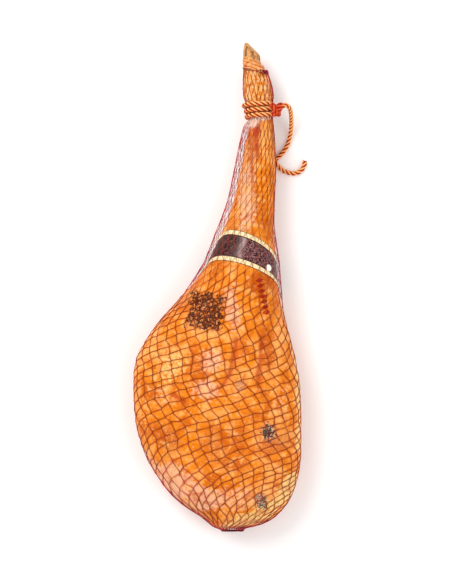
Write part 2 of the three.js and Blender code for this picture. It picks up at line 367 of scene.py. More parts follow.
@dataclass(frozen=True)
class Finish:
    """A real material: what it is and how its surface was made.

    Attributes:
        name: The material's name.
        ior: Its index of refraction.
        roughness: From 0, polished, to 1, matt.
        metallic: 0, as nothing here is metal.
        specular: How much of its clear gloss shows.
        coat: The weight and roughness of a thin clear layer on it.
        glow: How much light scatters inside it.
        glow_depth_mm: How far that light goes.
        glow_reach: How far red, green and blue go, as shares of that depth.
    """

    name: str
    ior: float = 1.5
    roughness: float = 0.5
    metallic: float = 0.0
    specular: float = 0.5
    coat: tuple[float, float] = (0.0, 0.03)
    glow: float = 0.0
    glow_depth_mm: float = 50.0
    glow_reach: tuple[float, float, float] = (1.0, 0.2, 0.1)

    def make(self) -> bpy.types.Material:
        """Makes the material.

        Returns:
            The material, with its nodes.
        """
        material = bpy.data.materials.new(self.name)
        material.use_nodes = True
        shader = material.node_tree.nodes["Principled BSDF"]
        for socket, value in (
            ("IOR", self.ior), ("Roughness", self.roughness), ("Metallic", self.metallic),
            ("Specular IOR Level", self.specular), ("Coat Weight", self.coat[0]),
            ("Coat Roughness", self.coat[1]), ("Subsurface Weight", self.glow),
            ("Subsurface Scale", self.glow_depth_mm * MM), ("Subsurface Radius", self.glow_reach),
        ):
            shader.inputs[socket].default_value = value
        self.paint(material.node_tree, shader)
        return material

    def paint(self, tree: bpy.types.NodeTree, shader: bpy.types.Node) -> None:
        """Adds what this finish has of its own."""
        raise NotImplementedError

    def hues(self) -> dict[str, Colour]:
        """The finish's colours as a shader takes them, by name."""
        named = {part.name: getattr(self, part.name) for part in fields(self) if part.name != "name"}
        return {key: to_linear(value) for key, value in named.items() if isinstance(value, str)}

    @staticmethod
    def tinted(tree: bpy.types.NodeTree, colour: Place | Colour,
               tints: Iterable[tuple[Place, Levels, Place | Colour]]) -> Place:
        """Lays tints over a colour, each as thickly as a pattern says.

        Args:
            tree: The node tree.
            colour: The colour underneath.
            tints: Each tint's pattern, its levels and its colour. The levels are where the pattern
                starts and ends, and how thick the tint is at either.

        Returns:
            The tinted colour.
        """
        for pattern, (low, high, thin, thick), tone in tints:
            share = add_node(tree, "MapRange", EASED, {0: pattern, 1: low, 2: high, 3: thin, 4: thick})
            colour = add_node(tree, "Mix", MIXED, {0: share, 6: colour, 7: tone}, 2)
        return colour

    @staticmethod
    def relief(tree: bpy.types.NodeTree, shader: bpy.types.Node,
               heights: Iterable[tuple[Place, Place | float, float]]) -> None:
        """Raises fine patterns over the surface.

        Args:
            tree: The node tree.
            shader: The shader that takes them.
            heights: Each pattern, its strength and its height in millimetres.
        """
        below = {}
        for pattern, strength, height in heights:
            inputs = {"Height": pattern, "Strength": strength, "Distance": height * MM, **below}
            below = {"Normal": add_node(tree, "Bump", {}, inputs)}
        tree.links.new(below["Normal"], shader.inputs["Normal"])


@dataclass(frozen=True)
class CuredRind(Finish):
    """Pig's rind and fat, dry-cured for a year or more, with its marks and its horn."""

    # Cured fat is oily and a little see-through: it glows amber, with broad soft highlights, and
    # dries to leathery brown where it is thin.
    name: str = "cured rind"
    ior: float = 1.46
    roughness: float = 0.42
    specular: float = 0.1
    coat: tuple[float, float] = (0.03, 0.25)
    glow: float = 0.1
    glow_depth_mm: float = 4.0
    glow_reach: tuple[float, float, float] = (1.0, 0.4, 0.12)
    amber: str = "#EA8212"
    deep: str = "#C65602"
    peach: str = "#FBB465"
    pale_fat: str = "#FBD98A"
    pink_fat: str = "#F3BC97"
    lean: str = "#D01E04"
    # A painted highlight: the near-white glare on the hock just under the rope.
    bone: str = "#F8EADF"
    burnt: str = "#3E1002"
    ink: str = "#A31408"
    mould: str = "#2A241C"
    bloom: str = "#D9CBC4"
    horn: str = "#D49A62"
    horn_dark: str = "#6E3E1C"

    def paint(self, tree: bpy.types.NodeTree, shader: bpy.types.Node) -> None:
        """Base tones, fat, lean, marks, horn, painted shade and a painted highlight, oil and pores.

        Args:
            tree: The node tree.
            shader: The shader that takes them.
        """
        hue = self.hues()
        place = add_node(tree, "TexCoord", {}, {}, "Object")
        # Lumps of fat, patches, freckles and pores: size in millimetres, detail and distortion.
        broad, cells, fine, grain = (
            add_node(tree, "TexNoise", {}, {"Vector": place, "Scale": 1 / (size * MM), "Detail": detail,
                                            "Distortion": bent})
            for size, detail, bent in ((60, 4.0, 0.4), (15, 3.0, 0.2), (6, 5.0, 0.3), (2, 4.0, 0.0))
        )
        stored = {
            name: add_node(tree, "Attribute", {"attribute_name": name}, {}, "Fac")
            for name in ("fat", "pink", "dark", "lean", "pale", "bone", "pressed", "horn", "ridged", "crease")
        }
        colour = self.tinted(tree, hue["amber"], [(broad, (0.48, 0.66, 0, 0.6), hue["peach"]),
                                                  (broad, (0.46, 0.32, 0, 0.6), hue["deep"])])
        ragged = add_node(tree, "MapRange", EASED, {0: fine, 1: 0.3, 2: 0.7, 3: -0.32, 4: 0.32})
        # The near-white hock zone is a painted highlight, and the dark zone holds a painted shadow under the
        # band's edge.
        for zone, tone, thick in (("fat", "pale_fat", 0.85), ("pink", "pink_fat", 0.8), ("dark", "deep", 0.9),
                                  ("lean", "lean", 0.85), ("pale", "pink_fat", 0.6), ("bone", "bone", 0.95)):
            mottled = add_node(tree, "Math", PLUS, {0: stored[zone], 1: ragged})
            colour = self.tinted(tree, colour, [(mottled, (0.2, 1.0, 0, thick), hue[tone])])
        colour = self.tinted(tree, colour, [
            (cells, (0.5, 0.72, 0, 0.75), hue["peach"]), (cells, (0.47, 0.3, 0, 0.6), hue["deep"]),
            (fine, (0.52, 0.72, 0, 0.5), hue["peach"]), (fine, (0.46, 0.3, 0, 0.6), hue["deep"]),
            # Painted shade: darker in the grooves where the net's yarns press into the rind.
            (stored["pressed"], (0.15, 0.9, 0, 0.35), hue["deep"]),
        ])
        colour = self.stamp(tree, self.brand(tree, colour, place, hue), place, hue)
        # Spots of mould: the middle and half sizes in millimetres, and how thick each is.
        for middle, half, thick in (((83, -233), (14, 16), 0.95), ((71, -345), (10, 15), 0.85),
                                    ((38, -157), (9, 10), 0.3)):
            colour = self.mouldy(tree, colour, place, hue, middle, half, thick)
        # Ridges of horn run along the hoof, about 3 mm apart, and don't show on its worn end.
        drawn = add_node(tree, "Mapping", {},
                         {"Vector": place, "Scale": (1 / (3 * MM), 1 / (30 * MM), 1 / (3 * MM))})
        streak = add_node(tree, "TexNoise", {}, {"Vector": drawn, "Scale": 1.0, "Detail": 3.0})
        ridges = add_node(tree, "MapRange", EASED, {0: streak, 1: 0.42, 2: 0.62, 3: 0.0, 4: 0.85})
        ridges = add_node(tree, "Math", TIMES, {0: ridges, 1: stored["ridged"]})
        horn = add_node(tree, "Mix", MIXED, {0: ridges, 6: hue["horn"], 7: hue["horn_dark"]}, 2)
        colour = add_node(tree, "Mix", MIXED, {0: stored["horn"], 6: colour, 7: horn}, 2)
        # Painted shade: the rind is darker in its folds, the tendon's groove, the collar's grooves and the
        # hoof's cleft, with a dark spot at the dewclaw.
        folds = add_node(tree, "MapRange", EASED, {0: stored["crease"], 1: 0.0, 2: 1.0, 3: 0.0, 4: 0.85})
        colour = add_node(tree, "Mix", DARKENED, {0: folds, 6: colour, 7: hue["deep"]}, 2)
        tree.links.new(colour, shader.inputs["Base Color"])
        oil = add_node(tree, "MapRange", EASED, {0: fine, 1: 0.3, 2: 0.7, 3: 0.36, 4: 0.55})
        tree.links.new(oil, shader.inputs["Roughness"])
        self.relief(tree, shader, [(fine, 0.6, 1.4), (streak, stored["ridged"], 1.5), (grain, 0.35, 0.5)])

    @staticmethod
    def mark_place(tree: bpy.types.NodeTree, place: Place, middle: tuple[float, float], turn: float) -> Place:
        """Millimetres across and along a mark.

        Args:
            tree: The node tree.
            place: The place on the piece, in metres.
            middle: The mark's middle, in millimetres.
            turn: How far it is turned, in degrees.

        Returns:
            The place from the mark's middle.
        """
        return add_node(tree, "Mapping", {"vector_type": "TEXTURE"},
                        {"Vector": place, "Location": (middle[0] * MM, middle[1] * MM, 0),
                         "Rotation": (0, 0, math.radians(turn)), "Scale": (MM, MM, MM)})

    @staticmethod
    def within(tree: bpy.types.NodeTree, place: Place, half: tuple[float, float], edge: float,
               rough: Place | float = 0.0) -> Place:
        """Tells whether a place is inside a box on the upper side.

        Args:
            tree: The node tree.
            place: The place from the box's middle, in millimetres.
            half: The box's half sizes.
            edge: How wide its fading edge is.
            rough: How far the edge strays.

        Returns:
            1 inside, falling to 0 over the edge, and 0 underneath.
        """
        parts = add_node(tree, "SeparateXYZ", {}, {0: place}).node.outputs
        inside = add_node(tree, "MapRange", EASED, {0: parts[2], 1: 40.0, 2: 50.0})
        for part, size in zip(parts, half):
            reach = add_node(tree, "Math", SIZE_OF, {0: part})
            reach = add_node(tree, "Math", PLUS, {0: reach, 1: rough})
            inside = add_node(tree, "MapRange", EASED,
                              {0: reach, 1: size + edge / 2, 2: size - edge / 2, 4: inside})
        return inside

    def brand(self, tree: bpy.types.NodeTree, colour: Place, place: Place, hue: dict[str, Colour]) -> Place:
        """A fire brand: a scorched slanting patch of burnt scrolls, with no letter or figure in it.

        Args:
            tree: The node tree.
            colour: The colour underneath.
            place: The place on the piece, in metres.
            hue: The finish's colours.

        Returns:
            The colour with the brand on it.
        """
        spot = self.mark_place(tree, place, (-18, -38), -10)
        # The outline strays over 7 mm, soot gathers over 3 mm, and the scrolls are 9 mm and 4 mm across.
        stray, soot = (
            add_node(tree, "TexNoise", {}, {"Vector": place, "Scale": 1 / (size * MM), "Detail": detail})
            for size, detail in ((7, 4.0), (3, 3.0))
        )
        rings = add_node(tree, "TexVoronoi", {"feature": "DISTANCE_TO_EDGE"},
                         {"Vector": spot, "Scale": 1 / 9, "Randomness": 0.8})
        curls = add_node(tree, "TexNoise", {},
                         {"Vector": spot, "Scale": 1 / 4, "Detail": 3.0, "Distortion": 1.2})
        ragged = add_node(tree, "MapRange", EASED, {0: stray, 1: 0.25, 2: 0.75, 3: -6.0, 4: 6.0})
        patch = self.within(tree, spot, (27, 29), 2.5, ragged)
        ringed = add_node(tree, "MapRange", EASED, {0: rings, 1: 0.16, 2: 0.06})
        curled = add_node(tree, "MapRange", EASED, {0: curls, 1: 0.48, 2: 0.56})
        burnt = add_node(tree, "Math", LARGER, {0: ringed, 1: curled})
        halo = add_node(tree, "Math", TIMES, {0: self.within(tree, spot, (30, 32), 10), 1: 0.4})
        gaps = add_node(tree, "MapRange", EASED, {0: curls, 1: 0.44, 2: 0.34, 3: 0.0, 4: 0.55})
        scorch = add_node(tree, "MapRange", EASED, {0: burnt, 1: 0.0, 2: 1.0, 3: 0.2, 4: 0.97})
        charred = self.tinted(tree, hue["burnt"], [(soot, (0.45, 0.7, 0, 0.45), hue["horn_dark"])])
        colour = add_node(tree, "Mix", MIXED, {0: halo, 6: colour, 7: hue["deep"]}, 2)
        for share, tone in ((gaps, hue["pink_fat"]), (scorch, charred)):
            share = add_node(tree, "Math", TIMES, {0: share, 1: patch})
            colour = add_node(tree, "Mix", MIXED, {0: share, 6: colour, 7: tone}, 2)
        return colour

    def stamp(self, tree: bpy.types.NodeTree, colour: Place, place: Place, hue: dict[str, Colour]) -> Place:
        """An ink stamp: a worn column of plain lozenges, 8.8 mm apart.

        Args:
            tree: The node tree.
            colour: The colour underneath.
            place: The place on the piece, in metres.
            hue: The finish's colours.

        Returns:
            The colour with the stamp on it.
        """
        spot = self.mark_place(tree, place, (74, -14), 12)
        parts = add_node(tree, "SeparateXYZ", {}, {0: spot}).node.outputs
        step = add_node(tree, "Math", TO_AND_FRO, {0: parts[1], 1: 4.4})
        wide = add_node(tree, "Math", TIMES, {0: add_node(tree, "Math", SIZE_OF, {0: parts[0]}), 1: 0.62})
        reach = add_node(tree, "Math", PLUS, {0: wide, 1: step})
        # The ink has worn off in flecks of 2.5 mm.
        fleck = add_node(tree, "TexNoise", {}, {"Vector": place, "Scale": 1 / (2.5 * MM), "Detail": 3.0})
        wear_and_sheen = add_node(tree, "MapRange", EASED, {0: fleck, 1: 0.38, 2: 0.5, 3: 0.6, 4: 1.0})
        column = self.within(tree, spot, (8, 31), 2)
        inked = add_node(tree, "MapRange", EASED, {0: reach, 1: 4.6, 2: 3.7, 4: column})
        share = add_node(tree, "Math", TIMES, {0: inked, 1: wear_and_sheen})
        return add_node(tree, "Mix", MIXED, {0: share, 6: colour, 7: hue["ink"]}, 2)

    def mouldy(self, tree: bpy.types.NodeTree, colour: Place, place: Place, hue: dict[str, Colour],
               middle: tuple[float, float], half: tuple[float, float], thick: float) -> Place:
        """A spot of mould: a pale bloom with dark specks, thickest in its middle.

        Args:
            tree: The node tree.
            colour: The colour underneath.
            place: The place on the piece, in metres.
            hue: The finish's colours.
            middle: The spot's middle, in millimetres.
            half: Its half sizes.
            thick: How thick it is, from 0 to 1.

        Returns:
            The colour with the spot on it.
        """
        parts = add_node(tree, "SeparateXYZ", {}, {0: self.mark_place(tree, place, middle, 20)}).node.outputs
        # Its outline strays over 5 mm, and its specks are 3 mm across.
        stray, speck = (
            add_node(tree, "TexNoise", {}, {"Vector": place, "Scale": 1 / (size * MM), "Detail": 4.0,
                                            "Distortion": bent})
            for size, bent in ((5, 0.6), (3.2, 0.8))
        )
        spread = add_node(tree, "MapRange", EASED, {0: stray, 1: 0.3, 2: 0.7, 3: -0.6, 4: 0.6})
        for part, size in zip(parts, half):
            share = add_node(tree, "Math", TIMES, {0: part, 1: 1 / size})
            square = add_node(tree, "Math", TIMES, {0: share, 1: share})
            spread = add_node(tree, "Math", PLUS, {0: square, 1: spread})
        above = add_node(tree, "MapRange", EASED, {0: parts[2], 1: 30.0, 2: 40.0})
        depth = add_node(tree, "MapRange", EASED, {0: spread, 1: 1.3, 2: 0.0, 4: above})
        bloomed = add_node(tree, "Math", TIMES, {0: depth, 1: 0.55 * thick})
        specked = add_node(tree, "MapRange", EASED, {0: speck, 1: 0.36, 2: 0.5})
        deepest = add_node(tree, "MapRange", EASED, {0: depth, 1: 0.15, 2: 0.6, 3: 0.0, 4: thick})
        dark = add_node(tree, "Math", TIMES, {0: specked, 1: deepest})
        colour = add_node(tree, "Mix", MIXED, {0: bloomed, 6: colour, 7: hue["bloom"]}, 2)
        return add_node(tree, "Mix", MIXED, {0: dark, 6: colour, 7: hue["mould"]}, 2)


@dataclass(frozen=True)
class KnittedYarn(Finish):
    """Dyed polyester net yarn, knitted by machine."""

    # Polyester yarn is matt with a fine twist. It is browned and dark where it lies in the oily rind, and
    # stays crimson where it is clear of it. Its pale patch on top by the hock is a painted highlight.
    name: str = "knitted yarn"
    roughness: float = 0.7
    specular: float = 0.12
    soaked: str = "#A0480C"
    soaked_dark: str = "#742800"
    dyed: str = "#CC3A4E"
    dyed_dark: str = "#921E38"
    salt: str = "#EBC9B8"

    def paint(self, tree: bpy.types.NodeTree, shader: bpy.types.Node) -> None:
        """Dye where the net is clear of the rind, oil where it lies in it, a painted highlight by the hock,
        and a fine twist.

        Args:
            tree: The node tree.
            shader: The shader that takes them.
        """
        hue = self.hues()
        place = add_node(tree, "TexCoord", {}, {}, "Object")
        # The dye is uneven over 18 mm. The yarn's twist is 0.7 mm.
        tone, twist = (
            add_node(tree, "TexNoise", {}, {"Vector": place, "Scale": 1 / (size * MM), "Detail": detail})
            for size, detail in ((18, 3.0), (0.7, 2.0))
        )
        clear, salted = (add_node(tree, "Attribute", {"attribute_name": name}, {}, "Fac")
                         for name in ("clear", "salted"))
        soaked, dyed = (self.tinted(tree, hue[name], [(tone, (0.35, 0.65, 0, 1), hue[name + "_dark"])])
                        for name in ("soaked", "dyed"))
        colour = add_node(tree, "Mix", MIXED, {0: clear, 6: soaked, 7: dyed}, 2)
        # A painted highlight: pale yarn on top of the hock, under the rope.
        glared = add_node(tree, "Math", TIMES, {0: salted, 1: 0.85})
        colour = add_node(tree, "Mix", MIXED, {0: glared, 6: colour, 7: hue["salt"]}, 2)
        colour = self.tinted(tree, colour, [(twist, (0.5, 0.7, 0, 0.5), hue["soaked_dark"])])
        tree.links.new(colour, shader.inputs["Base Color"])
        self.relief(tree, shader, [(twist, 0.4, 0.2)])


@dataclass(frozen=True)
class BandPrint(Finish):
    """Coated paper tape, printed and lacquered."""

    # Coated paper has a soft even gloss. The print is dark with cream edges, and a pale streak across it is a
    # painted highlight of that gloss.
    name: str = "coated paper"
    roughness: float = 0.4
    specular: float = 0.15
    coat: tuple[float, float] = (0.05, 0.2)
    dark: str = "#220706"
    plum: str = "#47191A"
    sheen_lavender: str = "#B49C98"
    print_pink: str = "#AD7C80"
    cream: str = "#F7E2AE"
    ruling: str = "#7A3A22"

    def paint(self, tree: bpy.types.NodeTree, shader: bpy.types.Node) -> None:
        """Cream edges with ticks, a dark ground, a fine all-over print and one pale streak of painted
        highlight.

        Args:
            tree: The node tree.
            shader: The shader that takes them.
        """
        hue = self.hues()
        across, along, print_share, sheen_share = (
            add_node(tree, "Attribute", {"attribute_name": name}, {}, "Fac")
            for name in ("across", "along", "printed", "wear_and_sheen")
        )
        here = add_node(tree, "CombineXYZ", {}, {"X": along, "Y": across})
        from_middle = add_node(tree, "Math", SIZE_OF, {0: across})
        # Clouds of 9 mm in the ink, leaves of 5 mm, and fine specks of 1.8 mm.
        cloud = add_node(tree, "TexNoise", {}, {"Vector": here, "Scale": 1 / 9, "Detail": 4.0})
        leaves = add_node(tree, "TexVoronoi", {"feature": "DISTANCE_TO_EDGE"},
                          {"Vector": here, "Scale": 1 / 5, "Randomness": 0.9})
        speck = add_node(tree, "TexNoise", {},
                         {"Vector": here, "Scale": 1 / 1.8, "Detail": 3.0, "Distortion": 1.5})
        inked = add_node(tree, "MapRange", EASED, {0: leaves, 1: 0.22, 2: 0.1, 4: print_share})
        inked = add_node(tree, "MapRange", EASED, {0: speck, 1: 0.47, 2: 0.56, 4: inked})
        inked = add_node(tree, "Math", TIMES, {0: inked, 1: 0.85})
        # A painted highlight: a pale lavender streak where the gloss catches the light.
        wear_and_sheen = add_node(tree, "MapRange", EASED, {0: cloud, 1: 0.3, 2: 0.6, 3: 0.28, 4: 0.8})
        wear_and_sheen = add_node(tree, "Math", TIMES, {0: wear_and_sheen, 1: sheen_share})
        colour = self.tinted(tree, hue["dark"], [(cloud, (0.4, 0.65, 0, 1), hue["plum"])])
        for share, tone in ((inked, "print_pink"), (wear_and_sheen, "sheen_lavender")):
            colour = add_node(tree, "Mix", MIXED, {0: share, 6: colour, 7: hue[tone]}, 2)
        tick = add_node(tree, "Math", TO_AND_FRO, {0: along, 1: 5.5})
        cream = self.tinted(tree, hue["cream"], [(tick, (0.7, 0.3, 0, 0.55), hue["ruling"]),
                                                 (speck, (0.58, 0.7, 0, 0.35), hue["ruling"])])
        line = add_node(tree, "Math", SIZE_OF, {0: add_node(tree, "Math", LESS, {0: from_middle, 1: 17.0})})
        colour = self.tinted(tree, colour, [
            (from_middle, (17.4, 17.9, 0, 1), cream), (line, (1, 0.5, 0, 1), hue["dark"]),
            (from_middle, (24.0, 24.6, 0, 1), hue["ruling"]),
        ])
        tree.links.new(colour, shader.inputs["Base Color"])
        gloss = add_node(tree, "MapRange", EASED, {0: speck, 1: 0.3, 2: 0.7, 3: 0.3, 4: 0.5})
        tree.links.new(gloss, shader.inputs["Roughness"])
        self.relief(tree, shader, [(cloud, 0.25, 0.3)])


@dataclass(frozen=True)
class MouldedPolythene(Finish):
    """White polythene, injection moulded."""

    # Polythene is faintly waxy with a soft gloss, and is dulled where it was handled.
    name: str = "moulded polythene"
    ior: float = 1.51
    roughness: float = 0.35
    glow: float = 0.1
    glow_depth_mm: float = 1.0
    white: str = "#F7F2EA"
    grubby: str = "#D9C8B4"

    def paint(self, tree: bpy.types.NodeTree, shader: bpy.types.Node) -> None:
        """Handling marks.

        Args:
            tree: The node tree.
            shader: The shader that takes them.
        """
        hue = self.hues()
        place = add_node(tree, "TexCoord", {}, {}, "Object")
        # Smears are 3 mm across.
        smear = add_node(tree, "TexNoise", {}, {"Vector": place, "Scale": 1 / (3 * MM), "Detail": 3.0})
        colour = self.tinted(tree, hue["white"], [(smear, (0.5, 0.75, 0, 0.6), hue["grubby"])])
        tree.links.new(colour, shader.inputs["Base Color"])
        gloss = add_node(tree, "MapRange", EASED, {0: smear, 1: 0.3, 2: 0.7, 3: 0.28, 4: 0.45})
        tree.links.new(gloss, shader.inputs["Roughness"])


@dataclass(frozen=True)
class LaidCord(Finish):
    """Three-strand laid cord of dyed fibre, twisted by machine."""

    # Laid fibre is matt and fuzzy. Each strand is cream with red-brown yarns along its sides, and the knot is
    # redder.
    name: str = "laid cord"
    roughness: float = 0.85
    specular: float = 0.15
    cream: str = "#FFB872"
    red: str = "#A62A00"
    flush: str = "#D41E10"

    def paint(self, tree: bpy.types.NodeTree, shader: bpy.types.Node) -> None:
        """Cream crests, red-brown sides, redder in the knot, and fibres that run along the yarns.

        Args:
            tree: The node tree.
            shader: The shader that takes them.
        """
        hue = self.hues()
        place = add_node(tree, "TexCoord", {}, {}, "Object")
        side, flush = (add_node(tree, "Attribute", {"attribute_name": name}, {}, "Fac")
                       for name in ("yarn", "flush"))
        # Fibres are drawn 0.8 mm across, which is coarser than they are, so that they show.
        fibre = add_node(tree, "TexNoise", {}, {"Vector": place, "Scale": 1 / (0.8 * MM), "Detail": 3.0})
        flushed = add_node(tree, "Math", TIMES, {0: flush, 1: 0.85})
        crest = add_node(tree, "Mix", MIXED, {0: flushed, 6: hue["cream"], 7: hue["flush"]}, 2)
        fuzz = add_node(tree, "MapRange", EASED, {0: fibre, 1: 0.3, 2: 0.7, 3: -0.06, 4: 0.06})
        fuzzy = add_node(tree, "Math", PLUS, {0: side, 1: fuzz})
        colour = self.tinted(tree, crest, [(fuzzy, (0.11, 0.22, 0, 1), hue["red"])])
        tree.links.new(colour, shader.inputs["Base Color"])
        self.relief(tree, shader, [(fibre, 0.6, 0.4)])


@dataclass(frozen=True)
class PaperSweep(Finish):
    """Matt white background paper."""

    # Uncoated paper is even and has no gloss.
    name: str = "background paper"
    roughness: float = 0.9
    specular: float = 0.1
    white: str = "#FFFFFF"

    def paint(self, tree: bpy.types.NodeTree, shader: bpy.types.Node) -> None:
        """Plain white."""
        shader.inputs["Base Color"].default_value = to_linear(self.white)


# ---------------------------------------------------------------- the surfaces that pieces lie on


@dataclass
class WrapSurface:
    """A body seen from its own axis: how far out it reaches at each place along and angle round it.

    Attributes:
        along: Places along +Y in millimetres, closer together where the body is blunt.
        reach: Distance from the axis, one row per place and one column per angle.
        middle: The axis, one point per place.
        half: Half the width and half the height at each place.
        columns: How many angles round it were measured.
        travel: Distance walked over the surface to each place, from the rump.
        girth: Length round the surface at each place.
        even: Angles that share the girth evenly, one row per place.
    """

    along: np.ndarray
    reach: np.ndarray
    middle: np.ndarray
    half: np.ndarray
    columns: int = 180
    travel: np.ndarray = field(init=False)
    girth: np.ndarray = field(init=False)
    even: np.ndarray = field(init=False)

    def __post_init__(self) -> None:
        """Works out the distances, the girths and the even angles."""
        mean = self.reach.mean(axis=1)
        self.travel = np.r_[0, np.cumsum(np.hypot(np.diff(self.along), np.diff(mean)))]
        turn = np.arange(self.columns + 1) * TURN / self.columns
        half = np.repeat(self.half[:, None], self.columns + 1, axis=1)
        rim = self.direction(half, np.tile(turn, (len(self.along), 1)))
        rim = rim * np.c_[self.reach, self.reach[:, :1]][..., None]
        steps = np.linalg.norm(np.diff(rim, axis=1), axis=2)
        self.girth = steps.sum(axis=1)
        walked = np.c_[np.zeros(len(self.along)), np.cumsum(steps, axis=1)] / self.girth[:, None]
        shares = np.linspace(0, 1, self.columns + 1)
        self.even = np.array([np.interp(shares, row, turn) for row in walked])

    def angle_at(self, travel: np.ndarray, share: np.ndarray) -> np.ndarray:
        """Angles round the surface.

        Args:
            travel: Distances over the surface from the rump.
            share: Parts of the girth walked from the shin side.

        Returns:
            The angles, in radians.
        """
        row = np.interp(travel, self.travel, np.arange(len(self.along)))
        low = np.clip(np.floor(row).astype(int), 0, len(self.along) - 2)
        whole = np.floor(share)
        place = (share - whole) * self.columns
        column = np.minimum(np.floor(place).astype(int), self.columns - 1)
        u, v = row - low, place - column
        angle = ((1 - u) * ((1 - v) * self.even[low, column] + v * self.even[low, column + 1])
                 + u * ((1 - v) * self.even[low + 1, column] + v * self.even[low + 1, column + 1]))
        return angle + whole * TURN

    def place(self, travel: np.ndarray, angle: np.ndarray, lift: np.ndarray | float = 0.0) -> np.ndarray:
        """Points over the surface.

        Args:
            travel: Distances over the surface from the rump.
            angle: Angles round it, in radians: 0 at the shin side, a quarter turn on top.
            lift: Distance outside the surface.

        Returns:
            Points in millimetres.
        """
        row = np.interp(travel, self.travel, np.arange(len(self.along)))
        column = (np.asarray(angle) % TURN) / TURN * self.columns
        low_row = np.clip(np.floor(row).astype(int), 0, len(self.along) - 2)
        low_column = np.floor(column).astype(int)
        u, v = row - low_row, column - low_column
        left, right = low_column % self.columns, (low_column + 1) % self.columns
        reach = ((1 - u) * ((1 - v) * self.reach[low_row, left] + v * self.reach[low_row, right])
                 + u * ((1 - v) * self.reach[low_row + 1, left] + v * self.reach[low_row + 1, right]))
        steps = np.arange(len(self.along))
        centre = np.stack([np.interp(row, steps, self.middle[:, k]) for k in range(3)], axis=-1)
        half = np.stack([np.interp(row, steps, self.half[:, k]) for k in range(2)], axis=-1)
        toward = self.direction(half, angle)
        return centre + toward * (reach + lift)[..., None]

    @staticmethod
    def direction(half: np.ndarray, angle: np.ndarray) -> np.ndarray:
        """Directions out of the axis.

        Args:
            half: Half the width and half the height of the oval that each angle goes round.
            angle: The angles, in radians.

        Returns:
            Unit directions.
        """
        x, z = np.cos(angle) * half[..., 0], np.sin(angle) * half[..., 1]
        size = np.hypot(x, z)
        return np.stack([x / size, np.zeros_like(x), z / size], axis=-1)

    def outward(self, travel: np.ndarray, angle: np.ndarray) -> np.ndarray:
        """Which way the surface faces.

        Args:
            travel: Distances over the surface from the rump.
            angle: Angles round it, in radians.

        Returns:
            Unit normals.
        """
        step, turn = 1.5, 0.03
        lengthwise = self.place(travel + step, angle) - self.place(travel - step, angle)
        roundwise = self.place(travel, angle + turn) - self.place(travel, angle - turn)
        found = np.cross(lengthwise, roundwise)
        return found / (np.linalg.norm(found, axis=-1, keepdims=True) + 1e-12)

    def travel_at(self, along: np.ndarray | float) -> np.ndarray:
        """The distance over the surface at a place along +Y."""
        return np.interp(along, self.along, self.travel)


def tree_of(piece: bpy.types.Object) -> BVHTree:
    """A search tree over the piece's mesh."""
    corners = [list(face.vertices) for face in piece.data.polygons]
    return BVHTree.FromPolygons([v.co for v in piece.data.vertices], corners)


def survey(piece: bpy.types.Object, places: np.ndarray, columns: int,
           like: WrapSurface | None = None) -> WrapSurface:
    """Measures a piece from its axis.

    Args:
        piece: The mesh object.
        places: Places along +Y, in millimetres.
        columns: How many angles round it.
        like: A surface whose axis is used again. Without it the axis is the middle of each section.

    Returns:
        The measured surface.
    """
    points = coordinates(piece)
    slice_mm = 3.0
    clear_of_it = 0.4
    if like is None:
        middle, half = [], []
        order = points[np.argsort(points[:, 1])]
        for y in places:
            low, high = np.searchsorted(order[:, 1], [y - slice_mm, y + slice_mm])
            near = order[low:high]
            lows, highs = near.min(axis=0), near.max(axis=0)
            middle.append(((lows[0] + highs[0]) / 2, y, (lows[2] + highs[2]) / 2))
            half.append(((highs[0] - lows[0]) / 2, (highs[2] - lows[2]) / 2))
        middle, half = np.array(middle), np.array(half)
    else:
        middle, half = like.middle, like.half
    search = tree_of(piece)
    angle = np.arange(columns) * TURN / columns
    reach = np.full((len(places), columns), np.nan)
    for row, centre in enumerate(middle):
        start = Vector(centre * MM)
        for column, toward in enumerate(WrapSurface.direction(np.tile(half[row], (columns, 1)), angle)):
            far = start + Vector(toward) * clear_of_it
            hit = search.ray_cast(far, -Vector(toward))
            if hit[0] is not None:
                reach[row, column] = (hit[0] - start).length / MM
    for row in range(len(places)):
        known = ~np.isnan(reach[row])
        if known.any():
            reach[row] = np.interp(angle, angle[known], reach[row][known], period=TURN)
        else:
            reach[row] = reach[row - 1]
    return WrapSurface(places, reach, middle, half, columns=columns)


# ---------------------------------------------------------------- pieces

